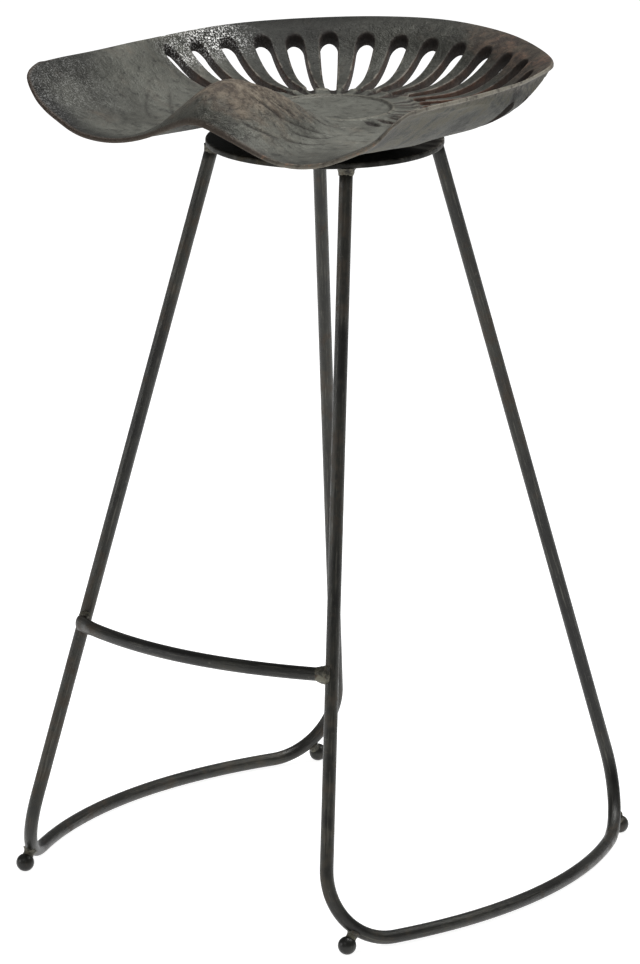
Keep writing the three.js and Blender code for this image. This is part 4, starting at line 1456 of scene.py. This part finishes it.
def dark_steel(name, drawn):
    """Steel under old dark wax, with faint brown, and on a drawn rod light and dark streaks along its
    length, the light ones partly painted sheen
    """
    shader = Shader(name)
    band = shader.band
    clouds, mottle = shader.noises((9.0, 5.0, 0.6), (85.0, 5.0, 0.65))
    rust = band(mottle * 0.5 + clouds * 0.5, 0.5, 0.62)
    coats = [((0.026, 0.026, 0.021), band(clouds, 0.38, 0.62)), ((0.05, 0.034, 0.021), rust * 0.6)]
    relief = shader.bump(mottle, 0.0006, 0.5)
    if drawn:
        run, across, beside = shader.marks("rod_run", "rod_across", "rod_beside")
        place = shader.node("ShaderNodeCombineXYZ", {}, {0: across * 1.4, 1: beside * 1.4, 2: run * 9.0})
        streaks, lines = shader.noises((2.6, 5.0, 0.7, 0.0, place), (9.0, 3.0, 0.6, 0.0, place))
        patina = band(shader.noise(5.0, 4.0, 0.6), 0.5, 0.66)
        coats += [
            ((0.06, 0.058, 0.046), patina * band(mottle, 0.35, 0.65) * 0.4),
            # light streaks along the rod: partly drawn marks, partly painted sheen
            ((0.12, 0.115, 0.095), band(streaks, 0.54, 0.68) * 0.5),
            ((0.004, 0.004, 0.003), band(streaks, 0.47, 0.34) * 0.7),
        ]
        relief = shader.bump(lines, 0.0004, 0.6, relief)
    coats.append(((0.15, 0.14, 0.12), band(shader.noise(240.0, 5.0, 0.7), 0.6, 0.75) * 0.3))
    relief = shader.bump(shader.noise(*fine_grain), 0.00018, 0.5, relief)
    return shader.finish(color=shader.layers((0.007, 0.007, 0.006), coats), metallic=0.4,
                         roughness=0.3 + rust * 0.2 + mottle * 0.12, normal=relief, specular=0.55)


def plate_steel():
    """The same steel on the round plate, with a worn bright rim"""
    shader = Shader("plate_steel")
    band, edge = shader.band, shader.mark("rim_edge")
    clouds, mottle, chips = shader.noises((11.0, 5.0, 0.6), (70.0, 5.0, 0.65), iron_chips)
    olive = band(mottle * 0.5 + clouds * 0.5, 0.54, 0.66)
    wear = band(chips + edge * 0.2, 0.52, 0.78) * edge
    color = shader.layers((0.006, 0.006, 0.005), [
        ((0.017, 0.016, 0.012), band(clouds, 0.35, 0.68)),
        ((0.07, 0.055, 0.028), olive * 0.4),
        ((0.17, 0.16, 0.14), wear * 0.7),
    ])
    relief = shader.bump(mottle, 0.0006, 0.5)
    relief = shader.bump(shader.noise(560.0, 3.0, 0.6), 0.00018, 0.5, relief)
    return shader.finish(color=color, metallic=0.2, roughness=0.55 + olive * 0.15 - wear * 0.12,
                         normal=relief, specular=0.2)


def weld_metal():
    """Rough fused metal, grey with rust in its ripples"""
    shader = Shader("weld_metal")
    mottle, grain, blotches = shader.noises((120.0, 5.0, 0.7, 0.8), (800.0, 3.0, 0.6), (170.0, 5.0, 0.7))
    rust = shader.band(blotches, 0.54, 0.66)
    color = shader.layers((0.024, 0.022, 0.017), [
        ((0.125, 0.118, 0.086), shader.band(mottle, 0.4, 0.65)),
        ((0.09, 0.045, 0.025), rust * 0.5),
    ])
    relief = shader.bump(grain, 0.00025, 0.6, shader.bump(mottle, 0.001, 0.7))
    return shader.finish(color=color, metallic=0.35, roughness=0.5 + rust * 0.2, normal=relief)


def zinc_steel():
    """Plated fasteners and swivel plates, dulled by age"""
    shader = Shader("zinc_steel")
    clouds, blotches = shader.noises((60.0, 5.0, 0.6), (150.0, 5.0, 0.7))
    scratches = shader.noise(900.0, 3.0, 0.6, 0.0, shader.stretched(0.1, 1.0, 1.0))
    rust = shader.band(blotches, 0.56, 0.7)
    color = shader.layers((0.1, 0.1, 0.095), [
        ((0.24, 0.24, 0.225), shader.band(clouds, 0.35, 0.68)),
        ((0.13, 0.07, 0.04), rust * 0.6),
    ])
    relief = shader.bump(scratches * 0.5 + clouds * 0.5, 0.0002, 0.5)
    return shader.finish(color=color, metallic=0.8, roughness=0.38 + rust * 0.3, normal=relief)


def bearing_plastic():
    """Off-white bearing plastic with greasy grey smears"""
    shader = Shader("bearing_plastic")
    smears = shader.noise(70.0, 5.0, 0.65, 1.2)
    color = shader.mix((0.62, 0.6, 0.53), (0.26, 0.25, 0.22), shader.band(smears, 0.5, 0.72))
    relief = shader.bump(shader.noise(500.0, 3.0), 0.0001, 0.4)
    return shader.finish(color=color, metallic=0.0, roughness=0.42 + smears * 0.15, normal=relief)


# The stool. A finish is the name of its slot and its material.

iron, plate_finish = ("seat_casting", cast_iron()), ("frame_metal", plate_steel())
ball_steel = ("frame_metal", dark_steel("ball_steel", False))
rod_steel = ("frame_metal", dark_steel("rod_steel", True))
welded, zinc = ("weld_metal", weld_metal()), ("fastener_metal", zinc_steel())
plastic = ("bearing_plastic", bearing_plastic())
butt_seed, lap_seed, neck_seed = 5, 9, 20

make_piece("seat_casting", "seat", iron, pan_shape(), "seat_pan")
for body, bolt_circle, bolted_face, bolt_top in (
        ("seat", seat_bolt_circle, swivel_top_low, boss_floor + seat_bolt_reach),
        ("base", base_bolt_circle, plate_bottom, swivel_base_high - face_gap)):
    bolt = hex_bolt(bolted_face - 2 * face_gap - washer_thickness - bolt_head_height, bolt_top)
    washer = washer_shape(bolted_face - face_gap - washer_thickness)
    for index, spot in enumerate(bolt_spots(bolt_circle), 1):
        if body == "seat":
            make_piece(f"seat_boss_{index}", body, iron, boss_shape(), spot=spot)
        make_piece(f"{body}_hex_bolt_{index}", body, zinc, bolt, f"{body}_bolt_{index}", spot, smooth=False)
        make_piece(f"{body}_flat_washer_{index}", body, zinc, washer, f"{body}_washer_{index}", spot)

plate_holes = bolt_holes(base_bolt_circle) + [
    circle_hole(0, y, plate_hole_radius) for y in (0, seat_bolt_circle)]
make_piece("round_plate", "base", plate_finish, disc_plate(
    plate_radius, plate_bottom, plate_top, plate_holes, plate_edge_round, plate_grid), "mounting_plate")
make_piece("swivel_lower_sheet", "base", zinc,
           swivel_plate(swivel_base_radius, swivel_base_low, base_bolt_circle), "swivel_base_plate")
make_piece("swivel_upper_sheet", "seat", zinc,
           swivel_plate(swivel_top_radius, swivel_top_low, seat_bolt_circle), "swivel_top_plate")
make_piece("bearing_race", "base", plastic, bearing_shape(), "swivel_bearing_ring")
make_piece("pivot_rivet", "base", zinc, pivot_shape(), "swivel_pivot")

for side, label in ((-1, "left"), (1, "right")):
    rod = tube(frame_line(side), rod_radius)
    make_piece(f"{label}_bent_rod", "base", rod_steel, rod, f"{label}_leg_frame")
    for end, end_label in ((-1, "front"), (1, "back")):
        leg = f"{end_label}_{label}"
        seed = 1 + side + 2 * end
        weld, neck = leg_weld_shape(side, end, seed), neck_shape(side, end, seed + neck_seed)
        ball = lathe(ball_profile(), ball_sides, ball_centre(side, end))
        make_piece(f"{leg}_plate_weld", "base", welded, weld, f"{leg}_leg_weld")
        make_piece(f"{leg}_ball", "base", ball_steel, ball, f"{leg}_ball_foot")
        make_piece(f"{leg}_neck", "base", welded, neck, f"{leg}_foot_weld")

make_piece("curved_footrest", "base", rod_steel, footrest_shape(), "footrest_bar")
make_piece("footrest_lap_bead", "base", welded, lap_weld_shape(lap_seed), "footrest_left_weld")
make_piece("footrest_butt_bead", "base", welded, butt_weld_shape(butt_seed), "footrest_right_weld")


# Floor and light

floor_reach = 30.0
floor_glow = 0.9
world_strength = 0.24


def add_floor():
    shader = Shader("pale_floor")
    color = shader.mix((0.52, 0.52, 0.52), (0.56, 0.56, 0.56), shader.noise(3.0, 4.0))
    shader.feed(shader.surface.inputs["Emission Color"], (1, 1, 1, 1))
    shader.feed(shader.surface.inputs["Emission Strength"], floor_glow)
    mesh = bpy.data.meshes.new("floor")
    r = floor_reach
    mesh.from_pydata([(-r, -r, 0), (r, -r, 0), (r, r, 0), (-r, r, 0)], [], [(0, 1, 2, 3)])
    mesh.materials.append(shader.finish(color=color, roughness=0.9))
    floor = bpy.data.objects.new("floor", mesh)
    bpy.context.scene.collection.objects.link(floor)


def add_light(name, place, aim_height, size, power):
    """A square light that faces a place on the swivel's axis"""
    light = bpy.data.lights.new(name, "AREA")
    light.size = size
    light.energy = power
    holder = bpy.data.objects.new(name, light)
    way = Vector(place) - Vector((axis_x, axis_y, aim_height)) * MM
    holder.matrix_world = Matrix.Translation(place) @ way.to_track_quat("Z", "Y").to_matrix().to_4x4()
    bpy.context.scene.collection.objects.link(holder)


add_floor()
world = bpy.data.worlds.new("studio")
world.use_nodes = True
world.node_tree.nodes["Background"].inputs["Color"].default_value = (1, 1, 1, 1)
world.node_tree.nodes["Background"].inputs["Strength"].default_value = world_strength
bpy.context.scene.world = world
add_light("overhead_softbox", (0.1, 0.5, 2.9), plate_top, 1.0, 54.0)
add_light("front_softbox", (0.3, -2.9, 2.6), plate_top, 1.4, 10.0)
add_light("back_glint", (1.3, 1.7, 2.7), plate_top, 0.6, 16.0)
add_light("left_strip", (-1.9, -2.2, 0.8), footrest_height, 0.3, 12.0)
bpy.context.scene.view_settings.view_transform = "Standard"
bpy.context.scene.view_settings.look = "None"
